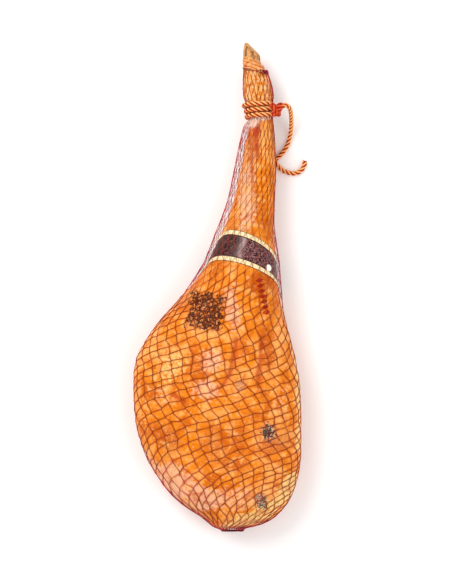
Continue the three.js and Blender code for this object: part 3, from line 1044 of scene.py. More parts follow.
# Where the rind's tints lie: each blob's middle, half sizes, thickness and lean.
RIND_BLOBS = {
    "fat": (
        ((-70, -120), (34, 26), 0.5), ((50, 170), (16, 70), 0.35), ((-88, -155), (26, 26), 0.35),
    ),
    "pink": (
        ((-66, -320), (46, 40), 1.1, -0.7), ((-22, -342), (24, 22), 0.9),
        ((24, -38), (14, 40), 1.0, -0.2), ((42, -108), (8, 22), 0.4),
        ((-12, -120), (22, 24), 0.9), ((-18, -163), (28, 18), 0.9),
        ((28, -168), (16, 14), 0.4), ((36, -338), (34, 26), 0.7), ((-90, -178), (22, 18), 0.5),
        ((-118, -282), (18, 20), 0.5, -0.4), ((47, 132), (17, 54), 1.0), ((54, 210), (13, 44), 0.6),
        ((28, 4), (8, 12), 0.5), ((105, -190), (18, 30), 0.4),
    ),
    # Among the dark blobs, the one at (-18, 46) is a painted shadow under the band's lower edge.
    "dark": (
        ((-84, -240), (26, 26), 0.9, -0.4), ((76, 10), (20, 18), 0.9), ((60, 10), (22, 20), 0.7),
        ((-60, -30), (22, 18), 0.7), ((-18, 46), (20, 9), 0.7), ((82, -95), (15, 55), 0.9),
        ((10, -250), (50, 40), 0.7), ((92, -252), (32, 20), 0.8), ((28, -290), (26, 16), 0.6),
        ((44, -92), (12, 22), 0.6), ((20, 80), (7, 50), 0.5, 0.2), ((88, 90), (8, 60), 0.5),
    ),
    "lean": (
        ((65, 257), (8, 9), 1.1), ((62, 235), (4, 26), 0.6), ((32, -104), (5, 22), 0.5),
        ((16, -136), (7, 16), 0.4), ((28, 250), (8, 30), 0.45, 0.4),
        ((-40, -345), (20, 8), 0.4, -0.7),
    ),
    "pale": (((-2, -62), (10, 14), 0.75), ((-6, -116), (16, 16), 0.45), ((-12, -164), (20, 12), 0.4)),
}


@dataclass
class Leg:
    """The cured leg with its trotter and hoof: one natural piece.

    Attributes:
        grid_mm: The size of its mesh's cells.
        swell_mm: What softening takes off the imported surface, which is put back.
        soften_times: How often the mesh is softened.
        finish: What it is made of.
    """

    grid_mm: float = 2.1
    swell_mm: float = 0.55
    soften_times: int = 14
    finish: Finish = field(default_factory=CuredRind)

    def build(self) -> bpy.types.Object:
        """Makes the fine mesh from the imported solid, shapes its surface and dresses it.

        Returns:
            The leg.
        """
        packed = bpy.data.objects["ham_leg"]
        piece = packed.copy()
        piece.data = piece.data.copy()
        piece.data.materials.clear()
        piece.name = "leg"
        for key in list(piece.keys()):
            del piece[key]
        bpy.context.scene.collection.objects.link(piece)
        remesh = piece.modifiers.new("grid", "REMESH")
        remesh.mode = "VOXEL"
        remesh.voxel_size = self.grid_mm * MM
        soften = piece.modifiers.new("soften", "SMOOTH")
        soften.iterations = self.soften_times
        soften.factor = 0.5
        evaluated = piece.evaluated_get(bpy.context.evaluated_depsgraph_get())
        piece.data = bpy.data.meshes.new_from_object(evaluated)
        piece.modifiers.clear()
        piece.data.shade_smooth()
        self.sharpen(piece, packed)
        self.shape(piece)
        dress(piece, self.finish, "rind", "ham_leg")
        return piece

    @staticmethod
    def sharpen(piece: bpy.types.Object, packed: bpy.types.Object) -> None:
        """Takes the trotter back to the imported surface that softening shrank, and points the hoof.

        Args:
            piece: The fine leg.
            packed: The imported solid.
        """
        search = tree_of(packed)
        points = coordinates(piece)
        share = smoothstep(points[:, 1], 335, 366)
        for k in np.flatnonzero(share > 0):
            found = search.find_nearest(Vector(points[k] * MM))[0]
            points[k] += (np.array(found) / MM - points[k]) * share[k]
        tip = smoothstep(points[:, 1], 370, 398)
        points[:, 0] -= 3.0 * tip
        toe = np.exp(-(((points[:, 1] - 381) / 7) ** 2)) * smoothstep(points[:, 0], 50, 60)
        points[:, 0] += 3.5 * toe
        points[:, 1] += 4.0 * tip
        set_coordinates(piece, points)

    def shape(self, piece: bpy.types.Object) -> None:
        """Raises and hollows the surface, and keeps where horn, tints and the painted shade of folds and
        hollows lie.

        Args:
            piece: The fine leg.
        """
        points = coordinates(piece)
        outward = normals(piece)
        x, y, z = points.T
        above = smoothstep(outward[:, 2], -0.1, 0.35)
        flat = smoothstep(z, 7.0, 2.5)
        edge = 376.5 - 0.35 * (x - 52) + 1.2 * cloudy(points, 6, 3)
        horn = smoothstep(y - edge, -1.0, 1.0)
        broad = cloudy(points, 46, 1)
        middling = cloudy(points, 15, 2)
        wrinkle = cloudy(points * np.array([1.0, 0.45, 1.0]), 5.5, 4)
        height = np.full(len(points), self.swell_mm)
        height += (1.1 * broad + 0.5 * middling + 0.2 * wrinkle) * (1 - horn) * (1 - 0.8 * flat)
        apart = self.from_folds(points)
        crease = np.exp(-((apart / 3.2) ** 2)) * above
        height -= 2.3 * crease
        # A painted shade: a broad darkening along each fold of the rind.
        fold_shade = np.exp(-((apart / 7.0) ** 2)) * above
        tendon = np.exp(-((x - (57 + 4 * np.sin(y / 60))) / 4.0) ** 2)
        tendon *= smoothstep(y, 120, 180) * smoothstep(y, 285, 250) * above
        height -= 1.3 * tendon
        collar = smoothstep(y, 350, 358) * smoothstep(edge - y, -0.5, 1.5)
        folds = 0.5 + 0.5 * np.sin((y + 0.35 * (x - 52) - 357) * TURN / 6.2 + 0.9 * middling)
        height += (1.6 * folds - 0.6) * collar
        cleft = np.exp(-(((z - np.median(z[y > 385])) / 1.5) ** 2)) * horn * smoothstep(y, 372, 380)
        height -= 2.4 * cleft
        points = points + outward * (height * (1 - 0.7 * flat))[:, None]
        points[:, 2] = np.maximum(points[:, 2], 1.2)
        set_coordinates(piece, points)
        store(piece, "horn", np.maximum(horn, 0.45 * smoothstep(y, 350, 367) * above))
        store(piece, "ridged", horn * smoothstep(outward[:, 1], 0.7, 0.35))
        groove = collar * smoothstep(folds, 0.45, 0.05)
        dewclaw = smoothstep(np.hypot(x - 46.5, y - 363), 2.6, 1.2) * above
        # Painted shade in the folds, the tendon's groove, the collar's grooves and the hoof's cleft, with a
        # dark spot at the dewclaw.
        dark = 0.45 * fold_shade + 0.25 * crease + 0.6 * tendon + 0.9 * groove + dewclaw + cleft
        store(piece, "crease", np.clip(dark, 0, 1))
        self.tint(piece, points, above)

    def from_folds(self, points: np.ndarray) -> np.ndarray:
        """Measures from the folds of the rind, seen from above.

        Args:
            points: Points in millimetres.

        Returns:
            How far each point is from the nearest fold, whose course strays a little.
        """
        wobble = 1.6 * cloudy(points, 12, 7)
        folds = (
            [(31, -84), (26, -112), (20, -140), (10, -156)],
            [(72, -84), (70, -110), (68, -132), (66, -160)],
            [(-71, -172), (-62, -178), (-52, -184)],
            [(66, 262), (64, 240), (67, 215)],
        )
        return np.min([np.abs(self.distance(points[:, :2], fold) + wobble) for fold in folds], axis=0)

    @staticmethod
    def distance(flat: np.ndarray, line: list[tuple[float, float]]) -> np.ndarray:
        """Measures from a line of straight stretches, seen from above.

        Args:
            flat: Points across and along the leg.
            line: The ends of the stretches.

        Returns:
            Each point's distance from the line.
        """
        best = np.full(len(flat), 1e9)
        for a, b in zip(np.array(line, float), np.array(line[1:], float)):
            share = np.clip(((flat - a) @ (b - a)) / ((b - a) @ (b - a)), 0, 1)
            best = np.minimum(best, np.linalg.norm(flat - a - share[:, None] * (b - a), axis=1))
        return best

    def tint(self, piece: bpy.types.Object, points: np.ndarray, above: np.ndarray) -> None:
        """Keeps where the rind is fat, pink, dark, lean or pale, and where a highlight is painted on the
        hock. The dark zone also holds a painted shadow under the band's edge.

        Args:
            piece: The leg.
            points: Its vertices, in millimetres.
            above: Which of them are on its upper side.
        """
        x, y, _ = points.T
        wobble = cloudy(points, 22, 11)

        def blob(middle: tuple[float, float], half: tuple[float, float], lean: float = 0.0) -> np.ndarray:
            """Marks an oval.

            Args:
                middle: Its middle.
                half: Its half sizes.
                lean: How far it shears across the leg, for its length.

            Returns:
                1 inside, fading over its rim.
            """
            u = (x - middle[0] - lean * (y - middle[1])) / half[0]
            v = (y - middle[1]) / half[1]
            return smoothstep(np.hypot(u, v) + 0.3 * wobble, 1.45, 0.3)

        rump = self.distance(points[:, :2], [(22, -388), (60, -376), (98, -352), (124, -314)])
        flank = self.distance(points[:, :2], [(137, -262), (139, -200), (136, -140), (130, -108)])
        zones = {
            "fat": 1.1 * smoothstep(rump + 5 * wobble, 20, 6) + 0.9 * smoothstep(flank + 3 * wobble, 16, 4)
                   + 0.5 * smoothstep(y, 296, 312) * (y < 379),
            "pink": 0.45 * smoothstep(y, 296, 310) * (y < 372),
            "dark": np.zeros(len(points)),
            "lean": np.zeros(len(points)),
            "pale": np.zeros(len(points)),
        }
        for name, spots in RIND_BLOBS.items():
            for middle, half, thick, *lean in spots:
                zones[name] = zones[name] + thick * blob(middle, half, *lean)
        for name, share in zones.items():
            store(piece, name, np.clip(share, 0, 1) * above)
        # A painted highlight: the near-white glare on the hock under the rope.
        store(piece, "bone", np.clip(blob((54, 271), (18, 9)) + 0.8 * blob((75, 278), (20, 5)), 0, 1))

    @staticmethod
    def press(piece: bpy.types.Object, yarns: np.ndarray) -> None:
        """Sinks the rind under the yarns, so that it stands up a little in every cell of the net, and keeps
        where shade is painted in those grooves.

        Args:
            piece: The leg.
            yarns: Points along every yarn, in millimetres.
        """
        points = coordinates(piece)
        outward = normals(piece)
        near = kdtree.KDTree(len(yarns))
        for k, place in enumerate(yarns.tolist()):
            near.insert(place, k)
        near.balance()
        apart = np.array([near.find(place)[2] for place in points.tolist()])
        depth = np.exp(-((apart / 2.3) ** 2))
        free = smoothstep(points[:, 2], 3.0, 8.0)
        fatty = 1 - 0.6 * smoothstep(points[:, 1], 20, 120)
        set_coordinates(piece, points + outward * ((0.3 - 0.85 * depth) * free * fatty)[:, None])
        # Painted shade in the grooves under the yarns.
        store(piece, "pressed", depth * fatty)


@dataclass
class Net:
    """The knitted net sleeve: yarns that cross in rounded cells from the collar to the gathered rump.

    Attributes:
        wales: How many yarns lean each way.
        strand_mm: The length of a yarn between two crossings.
        belly_yarn_mm: The yarn's radius over the thigh.
        shank_yarn_mm: Its radius on the shank, where it is drawn thin.
        tube_sides: The corners of the yarn's section.
        stud_clear_mm: How far the yarns keep from the stud's axis.
        stud_near_mm: How close to the stud that is seen to.
        flat_size: The sleeve's width and length when flat, in metres; not used.
        yarn_cover: The area that its yarns cover, in square metres; not used.
        finish: What it is made of.
        cover: The surface that the yarns' middles lie on.
        stud: The stud's middle.
        yarns: Each yarn's line, radius, normals and how clear of the rind it is.
    """

    wales: int = 30
    strand_mm: float = 15.5
    belly_yarn_mm: float = 0.46
    shank_yarn_mm: float = 0.31
    tube_sides: int = 6
    stud_clear_mm: float = 7.4
    stud_near_mm: float = 14.0
    flat_size: tuple[float, float] = (0.4, 0.82)
    yarn_cover: float = 0.1
    finish: Finish = field(default_factory=KnittedYarn)
    cover: WrapSurface = field(init=False)
    stud: np.ndarray = field(init=False)
    yarns: list[tuple[np.ndarray, ...]] = field(init=False)

    def lay(self, taut: WrapSurface, leg: WrapSurface, stud: np.ndarray) -> np.ndarray:
        """Lays the yarns over the leg.

        Args:
            taut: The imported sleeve's outer surface, which bridges the hollows.
            leg: The fine leg's surface.
            stud: The stud's middle, which the yarns pass to either side.

        Returns:
            Points along all the yarns, for the rind to sink under.
        """
        self.cover = self.resting(taut, leg)
        self.stud = stud
        rows = self.courses()
        rng = np.random.default_rng(11)
        shift = rng.normal(0, 1, (len(rows), 2 * self.wales, 2))
        self.yarns = [self.yarn(rows, wale, lean, shift) for lean in (1, -1) for wale in range(self.wales)]
        return np.vstack([even_steps(line, 2.5) for line, *_ in self.yarns])

    def build(self) -> bpy.types.Object:
        """Makes the laid yarns, the hem and the gathers one mesh and dresses it.

        Returns:
            The net.
        """
        parts, clear = [], []
        for line, radius, outward, freed in self.yarns + self.hem() + self.gathers():
            parts.append(tube(line, radius, self.tube_sides, outward))
            clear.append(np.repeat(freed, self.tube_sides))
        vertices, faces = joined(parts)
        vertices[:, 2] = np.maximum(vertices[:, 2], 0.0)
        piece = new_piece("net", vertices * MM, faces)
        store(piece, "clear", np.concatenate(clear))
        # A painted highlight on the yarns on top of the hock, under the rope.
        salted = np.exp(-(((vertices[:, 0] - 52) / 18) ** 2) - ((vertices[:, 1] - 270) / 9) ** 2)
        store(piece, "salted", salted * (vertices[:, 2] > 35))
        dress(piece, self.finish, "net_yarn", "net_sleeve")
        return piece

    def resting(self, taut: WrapSurface, leg: WrapSurface) -> WrapSurface:
        """Finds where the middle of the yarn lies: on the leg, or straight across a hollow.

        Args:
            taut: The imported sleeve's outer surface.
            leg: The fine leg's surface.

        Returns:
            The surface that the yarns' middles lie on.
        """
        on_leg = leg.reach + 0.45
        bridged = taut.reach - 0.5
        hollow = smoothstep(bridged - on_leg, 0.9, 2.0)
        reach = np.where(bridged > on_leg, on_leg + (bridged - on_leg) * hollow,
                         np.minimum(on_leg, bridged + 0.6))
        return WrapSurface(leg.along, reach, leg.middle, leg.half, columns=leg.columns)

    def courses(self) -> np.ndarray:
        """Works out where the yarns cross.

        Returns:
            The crossings' distances over the surface, from the rump to the collar.
        """
        cover = self.cover
        end = float(cover.travel_at(COLLAR_AT))
        rows = [8.0]
        while rows[-1] < end:
            half_cell = np.interp(rows[-1], cover.travel, cover.girth) / self.wales / 2
            slack = 1 + 0.3 * float(smoothstep(np.array(rows[-1]), 110, 30))
            rows.append(rows[-1] + math.sqrt(max((self.strand_mm * slack) ** 2 - half_cell**2, 49.0)))
        rows = np.array(rows)
        return rows[0] + (rows - rows[0]) * (end - rows[0]) / (rows[-1] - rows[0])

    @staticmethod
    def twist(travel: np.ndarray) -> np.ndarray:
        """How much of the way round the leg the net has slipped at each distance from the rump."""
        return 0.42 * (1 - np.clip(travel / 520, 0, 1)) ** 1.5 - 0.15 * smoothstep(travel, 480, 820)

    @staticmethod
    def tilt(travel: np.ndarray) -> np.ndarray:
        """How far the courses lean toward the rump on the shin side."""
        return 46 * smoothstep(travel, 10, 260) * (1 - smoothstep(travel, 330, 620))

    def yarn(self, rows: np.ndarray, wale: int, lean: int, shift: np.ndarray) -> tuple[np.ndarray, ...]:
        """One yarn from the rump to the collar.

        Args:
            rows: The crossings' distances over the surface.
            wale: Which yarn it is.
            lean: 1 if it leans one way round as it goes, or -1 for the other.
            shift: Random shifts of the crossings.

        Returns:
            Its middle line in millimetres, its radius, the surface's normals under it, and how clear of
            the rind it is.
        """
        count = np.arange(len(rows))
        slot = 2 * wale + lean * count
        moved = shift[count, slot % (2 * self.wales)]
        loose = smoothstep(rows, 20, 70) * smoothstep(rows, rows[-1] - 5, rows[-1] - 60)
        loose *= 1 - 0.65 * smoothstep(rows, 400, 520)
        share = slot / (2 * self.wales)
        girth = np.interp(rows, self.cover.travel, self.cover.girth)
        share = share + loose * (1.5 * moved[:, 1] / girth + 0.007 * np.sin(rows / 23 + 3 * TURN * share))
        travel = rows + 1.6 * moved[:, 0] * loose + 2.5 * loose * np.sin(4 * TURN * share + rows / 37)
        part = np.array([0.0, 0.14, 0.5, 0.86])
        stops = np.r_[(count[:-1, None] + part).ravel(), count[-1]]
        travel = np.interp(stops, count, travel)
        rounding = 0.1 - 0.08 * smoothstep(travel, 400, 520)
        crossing = stops - rounding * np.sin(TURN * stops)
        share = np.interp(crossing, count, share) + self.twist(travel)
        spread = 0.25 * smoothstep(travel, 420, 540) + 0.35 * smoothstep(travel, rows[-1] - 75, rows[-1] - 50)
        share = share + spread * np.sin(TURN * (share - 0.25)) / TURN
        travel = travel - self.tilt(travel) * np.cos(self.cover.angle_at(travel, share))
        angle = self.cover.angle_at(travel, share)
        near = np.minimum(stops % 1.0, 1 - stops % 1.0)
        lift = lean * 0.2 * np.exp(-((near / 0.12) ** 2))
        thin = smoothstep(travel, 340, 520)
        radius = self.belly_yarn_mm + (self.shank_yarn_mm - self.belly_yarn_mm) * thin
        radius = radius * (1 + 0.35 * np.exp(-((near / 0.09) ** 2)))
        line = self.round_stud(self.cover.place(travel, angle, lift))
        low, high = box_mm("net_tie")
        bundle = (high - low) * np.array([0.42, 0, 0.36])
        foot = (low + high) / 2 + np.array([4.0, 0.8, 0])
        line = np.vstack([foot + bundle * [math.cos(angle[0]), 0, math.sin(angle[0])], line])
        travel, angle, radius = (np.r_[row[0], row] for row in (travel, angle, radius))
        side = np.abs(np.cos(angle)) ** 6 * (0.3 + 0.7 * smoothstep(travel, 380, 470))
        side = side + smoothstep(np.sin(angle), -0.1, -0.4)
        clear = 0.1 + 0.8 * np.clip(side, 0, 1)
        clear = clear + 0.5 * smoothstep(travel, 60, 15) + 0.2 * smoothstep(travel, 280, 130)
        clear = clear + smoothstep(travel, rows[-1] - 22, rows[-1]) * smoothstep(np.cos(angle), 0.2, 0.8)
        clear = clear + 0.5 * np.exp(-(((line[:, 0] + 62) / 46) ** 2) - ((line[:, 1] + 330) / 50) ** 2)
        return line, radius, self.cover.outward(travel, angle), np.clip(clear, 0, 1)

    def round_stud(self, line: np.ndarray) -> np.ndarray:
        """Takes a yarn round the stud.

        Args:
            line: The yarn's middle line, in millimetres.

        Returns:
            The line with its points near the stud pushed aside, level with the surface.
        """
        middle = self.cover.middle
        centre = np.array([np.interp(self.stud[1], middle[:, 1], row) for row in middle.T])
        axis = (self.stud - centre) / np.linalg.norm(self.stud - centre)
        step = np.diff(line, axis=0)
        share = np.clip(((self.stud - line[:-1]) * step).sum(1) / ((step**2).sum(1) + 1e-9), 0, 1)
        apart = line[:-1] + step * share[:, None] - self.stud
        near = np.linalg.norm(apart, axis=1) < self.stud_near_mm
        apart = apart - np.outer(apart @ axis, axis)
        reach = np.linalg.norm(apart, axis=1)
        push = apart * (near * np.maximum(self.stud_clear_mm - reach, 0) / np.maximum(reach, 1e-6))[:, None]
        moved = line.copy()
        moved[:-1] += push
        moved[1:] += push
        return moved

    def hem(self) -> list[tuple[np.ndarray, ...]]:
        """Draws the collar's edge: three yarns round the trotter, bunched on the shin side.

        Returns:
            For each yarn the same rows as for the sleeve's own.
        """
        made = []
        angle = np.linspace(0, TURN, 97)
        end = float(self.cover.travel_at(COLLAR_AT))
        for k, back in enumerate((0.0, 1.9, 3.4)):
            travel = end - back + 1.6 * np.sin(3 * angle + k) + 0.9 * np.sin(7 * angle + 2.0 * k)
            travel = travel - 2.5 * np.cos(angle)
            lift = 0.4 + 0.4 * np.sin(5 * angle + 1.7 * k) + 0.8 * np.maximum(np.cos(angle), 0)
            line = self.cover.place(travel, angle, lift)
            bunch = smoothstep(np.cos(angle), 0.3, 0.85)
            radius = 0.4 + 0.75 * bunch
            made.append((line, radius, self.cover.outward(travel, angle), 0.15 + 0.8 * bunch))
        return made

    def gathers(self) -> list[tuple[np.ndarray, ...]]:
        """Pulls yarns together where the sleeve has slack: down the shin side over the rope, and by the tie.

        Returns:
            For each yarn the same rows as for the sleeve's own.
        """
        made = []
        collar, rope = (float(self.cover.travel_at(place)) for place in (COLLAR_AT, ROPE_AT + 12))
        for k in range(4):
            share = np.linspace(0, 1, 60)
            travel = collar + (rope - collar) * share
            angle = math.radians(-8 + 7 * k) + 0.05 * np.sin(9 * share + k)
            angle = angle + 0.1 * (1 - share) * np.sin(5 * share + 2 * k)
            made.append((travel, angle, 0.5))
            travel = 9 + (74 + 16 * k) * share
            angle = math.radians(172 + 6 * k) + 0.04 * np.sin(8 * share + k) - (0.1 + 0.03 * k) * share
            made.append((travel, angle, 0.55))
        return [
            (self.cover.place(travel, angle, 0.3 + 0.1 * np.sin(50 * angle)), np.full(len(travel), radius),
             self.cover.outward(travel, angle), np.ones(len(travel)))
            for travel, angle, radius in made
        ]


@dataclass
class NetTie:
    """The gathered end of the net, bound at the rump with its own yarn.

    Attributes:
        turns: The binding's turns.
        folds: The gathered folds inside it.
        yarn_mm: The binding yarn's radius.
        tube_sides: The corners of the yarn's section.
        finish: What it is made of.
    """

    turns: int = 4
    folds: int = 16
    yarn_mm: float = 0.75
    tube_sides: int = 6
    finish: Finish = KnittedYarn(name="bound yarn", dyed="#7E1420", dyed_dark="#3A0A0C")

    def build(self) -> bpy.types.Object:
        """Winds the binding round a flat bundle of folds.

        Returns:
            The tie.
        """
        low, high = box_mm("net_tie")
        middle, half = (low + high) / 2 + np.array([4.0, 0, 0]), (high - low) / 2
        parts = []
        turn = np.linspace(0, TURN * self.turns, 60 * self.turns)
        share = turn / turn[-1]
        wave = 1 - 0.16 * share + 0.03 * np.sin(5 * turn)
        ring = np.stack([middle[0] + (half[0] - 1.2) * np.cos(turn) * wave,
                         high[1] - 1.0 - (2 * half[1] - 2.0) * share,
                         middle[2] + (half[2] - 1.0) * np.sin(turn) * wave], axis=1)
        parts.append(tube(ring, np.full(len(ring), self.yarn_mm), self.tube_sides))
        rng = np.random.default_rng(4)
        for k in range(self.folds):
            x = middle[0] + (half[0] - 3.0) * (2 * (k + 0.5) / self.folds - 1)
            tall = half[2] * math.sqrt(max(1 - ((x - middle[0]) / half[0]) ** 2, 0.1)) - 1.0
            up = np.linspace(-tall, tall, 9)
            bow = (1 - (up / tall) ** 2) * (half[1] - 0.6)
            fold = np.stack([x + rng.normal(0, 0.4) + 0.8 * np.sin(up / 2 + k),
                             middle[1] - bow * 0.8 + 0.2 * rng.normal(size=len(up)), middle[2] + up], axis=1)
            parts.append(tube(fold, np.full(len(up), self.yarn_mm * 1.1), self.tube_sides))
        vertices, faces = joined(parts)
        piece = new_piece("net_end", vertices * MM, faces)
        store(piece, "clear", np.ones(len(vertices)))
        store(piece, "salted", np.zeros(len(vertices)))
        dress(piece, self.finish, "net_yarn", "net_tie")
        return piece


@dataclass
class Band:
    """The printed strip round the leg, lapped over itself under the press stud.

    Attributes:
        columns: The mesh's points across the strip.
        step_degrees: How far round the leg its rows are apart.
        finish: What it is made of.
    """

    columns: int = 27
    step_degrees: float = 1.5
    finish: Finish = field(default_factory=BandPrint)

    def build(self, leg: WrapSurface) -> bpy.types.Object:
        """Lays the strip on the leg with its ends lapped.

        Args:
            leg: The fine leg's surface.

        Returns:
            The band.
        """
        turned = np.arange(0, 360 + LAP_LENGTH + 0.1, self.step_degrees)
        angle = np.radians(LAP_START + LAP_LENGTH - turned)
        across = np.linspace(-BAND_WIDTH / 2, BAND_WIDTH / 2, self.columns)
        angles, offsets = np.meshgrid(angle, across, indexing="ij")
        middle = BAND_AT + BAND_SLANT * np.cos(angles - math.radians(BAND_SLANT_ANGLE))
        middle = middle + 6.5 * np.exp(-(((angles % TURN - math.radians(168)) / 1.0) ** 2))
        rise = (BAND_THICKNESS + 0.3) * smoothstep(turned, 360 - LAP_LENGTH, 358 - LAP_LENGTH / 4)
        travel = leg.travel_at(middle + offsets)
        wave = 0.5 + 0.5 * np.sin(4 * angles + np.sign(offsets))
        curl = 0.5 * (2 * np.abs(offsets) / BAND_WIDTH) ** 6 * wave
        lift = 0.35 + rise[:, None] + curl
        outer = leg.place(travel, angles, lift + BAND_THICKNESS)
        inner = leg.place(travel, angles, lift)
        rows, columns = angles.shape
        vertices = np.vstack([outer.reshape(-1, 3), inner.reshape(-1, 3)])
        row, column = np.meshgrid(np.arange(rows - 1), np.arange(columns - 1), indexing="ij")
        corner = (row * columns + column).ravel()
        top = np.stack([corner, corner + 1, corner + columns + 1, corner + columns], axis=1)
        under = top[:, ::-1] + rows * columns
        rim = self.rim(rows, columns)
        piece = new_piece("band", vertices * MM, np.vstack([top, under, rim]))
        run = np.r_[0, np.cumsum(np.linalg.norm(np.diff(outer[:, self.columns // 2], axis=0), axis=1))]
        store(piece, "along", np.tile(np.repeat(run, columns), 2))
        store(piece, "across", np.tile(np.tile(across, rows), 2))
        spots = outer.reshape(-1, 3)
        printed = smoothstep(spots[:, 0], 34, 46) + 0.35 * smoothstep(spots[:, 0], 0, 12)
        store(piece, "printed", np.tile(np.clip(printed, 0, 1), 2))
        # A painted highlight: a pale streak across the top of the band.
        wear_and_sheen = np.exp(-(((spots[:, 0] - 38 - 0.27 * (spots[:, 1] - 60)) / 5.0) ** 2)) * (spots[:, 2] > 60)
        store(piece, "wear_and_sheen", np.tile(wear_and_sheen, 2))
        dress(piece, self.finish, "band_paper", "band_strip")
        return piece

    @staticmethod
    def rim(rows: int, columns: int) -> np.ndarray:
        """Closes the strip's edge.

        Args:
            rows: The mesh's points along the strip.
            columns: Its points across it.

        Returns:
            The narrow faces between the strip's two skins.
        """
        edge = [
            *((0, column) for column in range(columns)),
            *((row, columns - 1) for row in range(1, rows)),
            *((rows - 1, column) for column in range(columns - 2, -1, -1)),
            *((row, 0) for row in range(rows - 2, 0, -1)),
        ]
        number = np.array([row * columns + column for row, column in edge])
        after = np.roll(number, -1)
        other = rows * columns
        return np.stack([after, number, number + other, after + other], axis=1)


@dataclass
class PressStud:
    """The white stud that holds the band: a domed cap outside and a socket inside.

    Attributes:
        sides: The corners of its round outlines.
        finish: What it is made of.
    """

    sides: int = 48
    finish: Finish = field(default_factory=MouldedPolythene)

    def build(self, leg: WrapSurface) -> list[bpy.types.Object]:
        """Turns the cap and its socket and stands them on the band.

        Args:
            leg: The fine leg's surface.

        Returns:
            The cap and the socket.
        """
        angle = self.angle(leg)
        low, high = box_mm("stud_cap")
        travel = leg.travel_at((low[1] + high[1]) / 2)
        foot = leg.place(np.array([travel]), np.array([angle]))[0]
        outward = leg.outward(np.array([travel]), np.array([angle]))[0]
        radius = (high[1] - low[1]) / 2
        # Each profile is the radius and height of its corners.
        cap = [(0, -2.2), (1.9, -2.2), (2.0, 0), (radius - 0.5, 0), (radius, 0.35), (radius, 0.8),
               (radius - 0.9, 1.35), (radius - 1.7, 1.5), (radius - 2.1, 1.25), (radius - 2.6, 1.3),
               (1.6, 1.6), (0, 1.65)]
        socket = [(2.3, 0), (4.8, 0), (5.0, 0.2), (5.0, 0.5), (4.8, 0.6), (2.3, 0.6), (2.3, 0)]
        made = []
        for name, node, profile, height in (("stud_top", "stud_cap", cap, 3.1),
                                            ("stud_base", "stud_socket", socket, 0.1)):
            vertices, faces = self.turned(np.array(profile, float))
            piece = new_piece(name, self.stand(vertices, foot, outward, height) * MM, faces)
            dress(piece, self.finish, "stud_plastic", node)
            made.append(piece)
        return made

    @staticmethod
    def angle(leg: WrapSurface) -> float:
        """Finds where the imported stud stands.

        Args:
            leg: The fine leg's surface.

        Returns:
            Its angle round the leg's axis, in radians.
        """
        middle = np.mean(box_mm("stud_socket"), axis=0)
        angles = np.linspace(0, math.pi / 2, 400)
        spots = leg.place(np.full(len(angles), leg.travel_at(middle[1])), angles)
        return float(angles[np.argmin(np.linalg.norm(spots - middle, axis=1))])

    def turned(self, profile: np.ndarray) -> tuple[np.ndarray, np.ndarray]:
        """Turns a profile round its axis.

        Args:
            profile: The radius and height of its corners.

        Returns:
            Vertices and four-cornered faces.
        """
        angle = np.arange(self.sides) * TURN / self.sides
        rings = [np.stack([reach * np.cos(angle), reach * np.sin(angle), np.full(self.sides, height)], axis=1)
                 for reach, height in profile]
        here = np.arange(self.sides)
        beside = (here + 1) % self.sides
        quads = np.stack([here, beside, self.sides + beside, self.sides + here], axis=1)
        faces = [quads + row * self.sides for row in range(len(profile) - 1)]
        return np.vstack(rings), np.vstack(faces)

    @staticmethod
    def stand(points: np.ndarray, foot: np.ndarray, outward: np.ndarray, height: float) -> np.ndarray:
        """Stands points on the band.

        Args:
            points: Points round an upright axis at the origin.
            foot: Where the stud's axis meets the leg.
            outward: Which way it stands.
            height: How far out the points move.

        Returns:
            The moved points.
        """
        side = np.cross([0.0, 1.0, 0.0], outward)
        side /= np.linalg.norm(side)
        other = np.cross(outward, side)
        turned = points[:, :1] * side + points[:, 1:2] * other + points[:, 2:] * outward
        return foot + outward * height + turned


class Stretch(Enum):
    """The rope's stretches, from its hidden start to its loose end."""

    TURNS = "turns"
    KNOT = "knot"
    TAIL = "tail"


